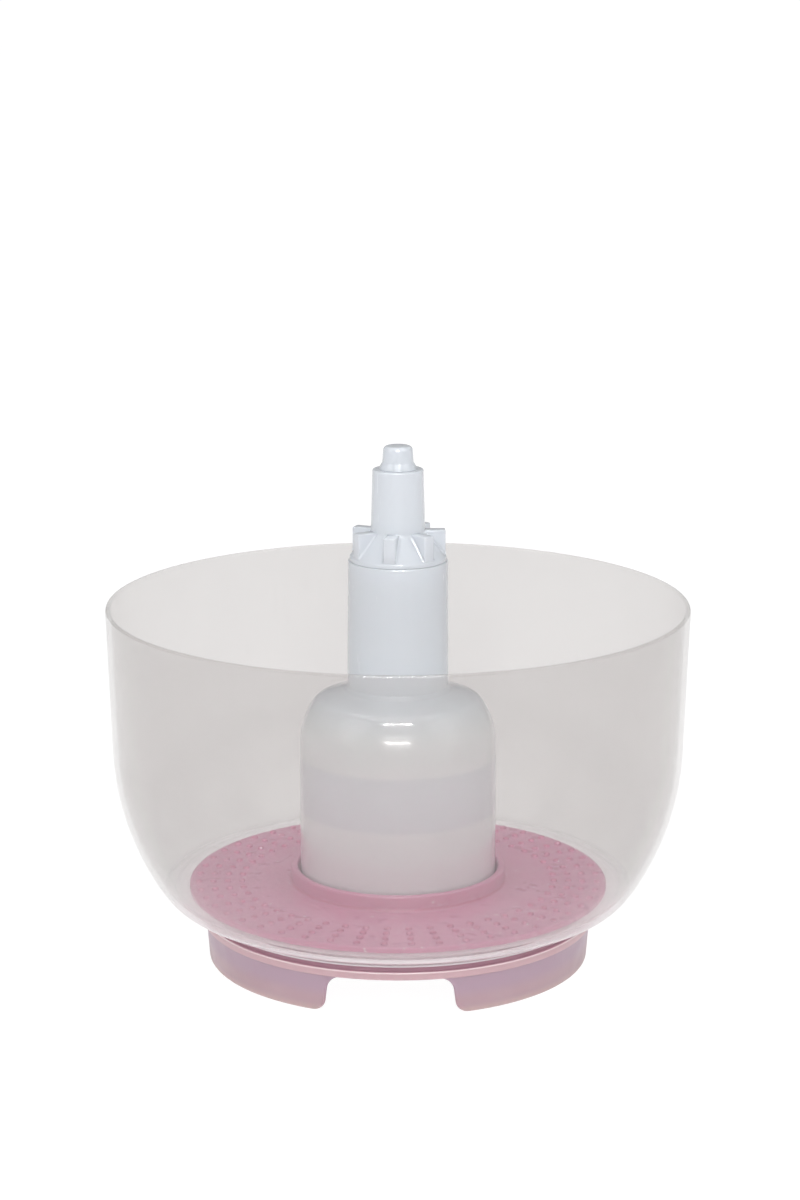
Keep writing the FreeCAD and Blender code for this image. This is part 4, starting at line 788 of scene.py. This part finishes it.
def make_cap():
    mesh = bmesh.new()
    add_turned(mesh, rounded([(SHAFT_RADIUS, NECK_TOP, 0.0),
                              (CAP_FLARE_RADIUS, NECK_TOP, 0.2),
                              (CAP_FLARE_RADIUS - 0.5, NECK_TOP + 1.1, 0.5),
                              (CAP_RADIUS, NECK_TOP + 2.4, 1.2),
                              (CAP_RADIUS - 0.4, CAP_TOP, 1.6),
                              (0.0, CAP_TOP, 0.0),
                              (0.0, CAP_BORE_TOP, 0.0),
                              (SHAFT_RADIUS, CAP_BORE_TOP, 0.0)]), steps=CAP_STEPS)
    return place_piece(mesh, "head_tip", "milky_white", "head", "head_cap")


# ---------------------------------------------------------------- base
def skirt_radius(height):
    share = height / FLANGE_BOTTOM
    return SKIRT_BOTTOM_RADIUS + (SKIRT_TOP_RADIUS - SKIRT_BOTTOM_RADIUS) * share


def cut_outline():
    """One cut-out's edge as (lateral, height), from one foot over the arch to the next."""
    side = CUT_HALF_WIDTH
    beyond = side + CUT_FLARE + 2.0
    run = rounded([(-beyond, 0.0, 0.0), (-side, 0.0, CUT_FLARE),
                   (CUT_LEAN - side, CUT_HEIGHT, CUT_CORNER), (side - CUT_LEAN, CUT_HEIGHT, CUT_CORNER),
                   (side, 0.0, CUT_FLARE), (beyond, 0.0, 0.0)], closed=False)
    dense = []
    for (a, b), (c, d) in zip(run, run[1:]):
        pieces = max(1, int(math.dist((a, b), (c, d)) / 1.5))
        dense += [(a + (c - a) * k / pieces, b + (d - b) * k / pieces) for k in range(pieces)]
    return dense + [run[-1]]


def skirt_edge():
    """The skirt's lower edge all round: (azimuth outside, azimuth inside, height, normal into the wall)."""
    cut = cut_outline()
    stops = []
    for number, azimuth in enumerate(CUT_AZIMUTHS):
        for index, (lateral, height) in enumerate(cut):
            before, after = cut[max(index - 1, 0)], cut[min(index + 1, len(cut) - 1)]
            along = (Vector(after) - Vector(before)).normalized()
            outer, inner = (math.degrees(math.asin(lateral / radius)) for radius in
                            (skirt_radius(height), skirt_radius(height) - SKIRT_WALL))
            stops.append((azimuth + outer, azimuth + inner, height, Vector((-along.y, along.x))))
        following = CUT_AZIMUTHS[(number + 1) % 3] + (360.0 if number == 2 else 0.0)
        first, last = stops[-1], stops[-len(cut)]
        gap = following - azimuth
        for step in range(1, SKIRT_STEPS):
            share = step / SKIRT_STEPS
            outer = first[0] + (last[0] + gap - first[0]) * share
            inner = first[1] + (last[1] + gap - first[1]) * share
            stops.append((outer, inner, 0.0, Vector((0.0, 1.0))))
    return stops


def add_skirt(mesh):
    """The three feet and arches as one wall with a rounded lower lip."""
    stops = skirt_edge()
    buried_outside, buried_inside = FLANGE_TOP - 1.0, DECK_BOTTOM + 0.5
    quarter = [math.pi / 2.0 * step / LIP_STEPS for step in range(LIP_STEPS + 1)]
    rows = []
    for share in (0.0, 0.34, 0.67):
        rows.append(("outer", LIP, 0.0, share))
    for angle in quarter:
        rows.append(("outer", LIP * (1.0 - math.sin(angle)), LIP * (1.0 - math.cos(angle)), 1.0))
    for angle in reversed(quarter):
        rows.append(("inner", LIP * (1.0 - math.sin(angle)), LIP * (1.0 - math.cos(angle)), 1.0))
    for share in (0.67, 0.34, 0.0):
        rows.append(("inner", LIP, 0.0, share))
    rings = []
    for face, lift, depth, share in rows:
        ring = []
        for outer, inner, height, normal in stops:
            top = buried_outside if face == "outer" else buried_inside
            low = height + normal.y * lift
            level_here = top + (low - top) * share
            radius = skirt_radius(level_here)
            radius = radius - depth if face == "outer" else radius - SKIRT_WALL + depth
            azimuth = outer if face == "outer" else inner
            azimuth += math.degrees(normal.x * lift * share / radius)
            x, y = polar(radius, azimuth)
            ring.append(mesh.verts.new((x * MM, y * MM, level_here * MM)))
        rings.append(ring)
    for first, second in zip(rings, rings[1:] + rings[:1]):
        bridge(mesh, first, second)


def make_base():
    mesh = bmesh.new()
    add_skirt(mesh)
    hidden = SKIRT_TOP_RADIUS - 1.6
    add_turned(mesh, rounded([(POD_INNER, DECK_TOP, 0.0),
                              (SPIGOT_RADIUS, DECK_TOP, 0.4),
                              (SPIGOT_RADIUS, FLANGE_TOP, 0.2),
                              (FLANGE_RADIUS, FLANGE_TOP, 0.6),
                              (FLANGE_RADIUS, FLANGE_BOTTOM, 0.6),
                              (hidden, FLANGE_BOTTOM, 0.0),
                              (hidden, DECK_BOTTOM, 0.0),
                              (POD_INNER, DECK_BOTTOM, 0.0)]))
    buried = DECK_BOTTOM + 0.5
    add_turned(mesh, rounded([(POD_INNER, POD_BOTTOM, 0.4), (POD_OUTER, POD_BOTTOM, 0.4),
                              (POD_OUTER, buried, 0.0), (POD_INNER, buried, 0.0)]))
    for azimuth in FOOT_AZIMUTHS:
        outer = PAD_RADIUS + BOSS_WALL
        add_turned(mesh, rounded([(0.0, PAD_HEIGHT, 0.0), (PAD_RADIUS, PAD_HEIGHT, 0.0),
                                  (PAD_RADIUS, 0.8, 0.2), (outer, 0.8, 0.4), (outer, buried, 0.0),
                                  (0.0, buried, 0.0)]), steps=64, centre=polar(PAD_CENTRE, azimuth))
    outline = [(POD_OUTER - 0.4, DECK_BOTTOM - RIB_DEPTH), (RIB_REACH, DECK_BOTTOM - RIB_DEPTH),
               (RIB_REACH, buried), (POD_OUTER - 0.4, buried)]
    for number in range(RIB_COUNT):
        add_prism(mesh, outline, RIB_HALF, 360.0 / RIB_COUNT * (number + 0.5), 0.25)
    return place_piece(mesh, "footed_base", "pink_base", "base", "base_ring")


# ---------------------------------------------------------------- studio
def make_floor():
    mesh = bmesh.new()
    bmesh.ops.create_grid(mesh, x_segments=8, y_segments=8, size=FLOOR_SIZE)
    material, tree = shader_tree("studio_floor")
    place = own_place(tree)
    drift = noise(tree, place, 3.0, 2.0)
    seen = add(tree, "LightPath").outputs["Is Camera Ray"]
    lit = tone(tree, drift, (0.74, 0.74, 0.74), (0.76, 0.76, 0.76))
    paper = add(tree, "BsdfPrincipled", Roughness=spread(tree, drift, 0.3, 0.7, 0.85, 0.95),
                Base_Color=tone(tree, seen, lit, (0.13, 0.13, 0.13)))
    fix(paper, Specular_IOR_Level=0.0)
    glow = add(tree, "Emission", Strength=spread(tree, seen, 0.0, 1.0, 0.40, 0.965, smooth=False))
    surface(tree, join(tree, "AddShader", paper, glow).outputs[0])
    floor = finished(mesh, "studio_floor", material)
    floor.location.z = -FLOOR_DROP


def area_light(name, place, size, power, colour=WHITE):
    data = bpy.data.lights.new(name, "AREA")
    data.shape = "RECTANGLE"
    data.size, data.size_y = size
    data.energy = power
    data.color = colour
    lamp = bpy.data.objects.new(name, data)
    bpy.context.scene.collection.objects.link(lamp)
    lamp.location = place
    lamp.rotation_euler = (Vector(LIGHT_AIM) - Vector(place)).to_track_quat("-Z", "Y").to_euler()
    lamp.visible_camera = False
    return lamp


def make_world():
    world = bpy.data.worlds.new("studio")
    bpy.context.scene.world = world
    world.use_nodes = True
    tree = world.node_tree
    tree.nodes.clear()
    seen = add(tree, "LightPath").outputs["Is Camera Ray"]
    strength = spread(tree, seen, 0.0, 1.0, 0.32, 1.04, smooth=False)
    back = add(tree, "Background", Color=(1.0, 1.0, 1.0, 1.0), Strength=strength)
    out = add(tree, "OutputWorld")
    tree.links.new(back.outputs[0], out.inputs["Surface"])


def make_lights():
    """Soft lights for the body of the object, and two strips seen only as highlights in the gloss."""
    lamps = {name: area_light(name, *settings) for name, *settings in SOFT_LIGHTS}
    lamps["front_lamp"].visible_glossy = False
    for name, *settings in STRIP_LIGHTS:
        area_light(name, *settings).visible_diffuse = False


def make_camera():
    data = bpy.data.cameras.new("photo_camera")
    data.lens = CAMERA_LENS
    data.sensor_width = CAMERA_SENSOR
    data.shift_x = CAMERA_SHIFT
    camera = bpy.data.objects.new("photo_camera", data)
    bpy.context.scene.collection.objects.link(camera)
    camera.location = CAMERA_PLACE
    camera.rotation_euler = (math.radians(CAMERA_TILT), 0.0, 0.0)
    bpy.context.scene.camera = camera


dress_cad_nodes()
make_bowl()
make_disc()
make_column()
make_head()
make_cap()
make_base()
make_floor()
make_world()
make_lights()
make_camera()
bpy.context.scene.view_settings.view_transform = "Standard"


def plain(box):
    return [[float(value) for value in corner] for corner in box]
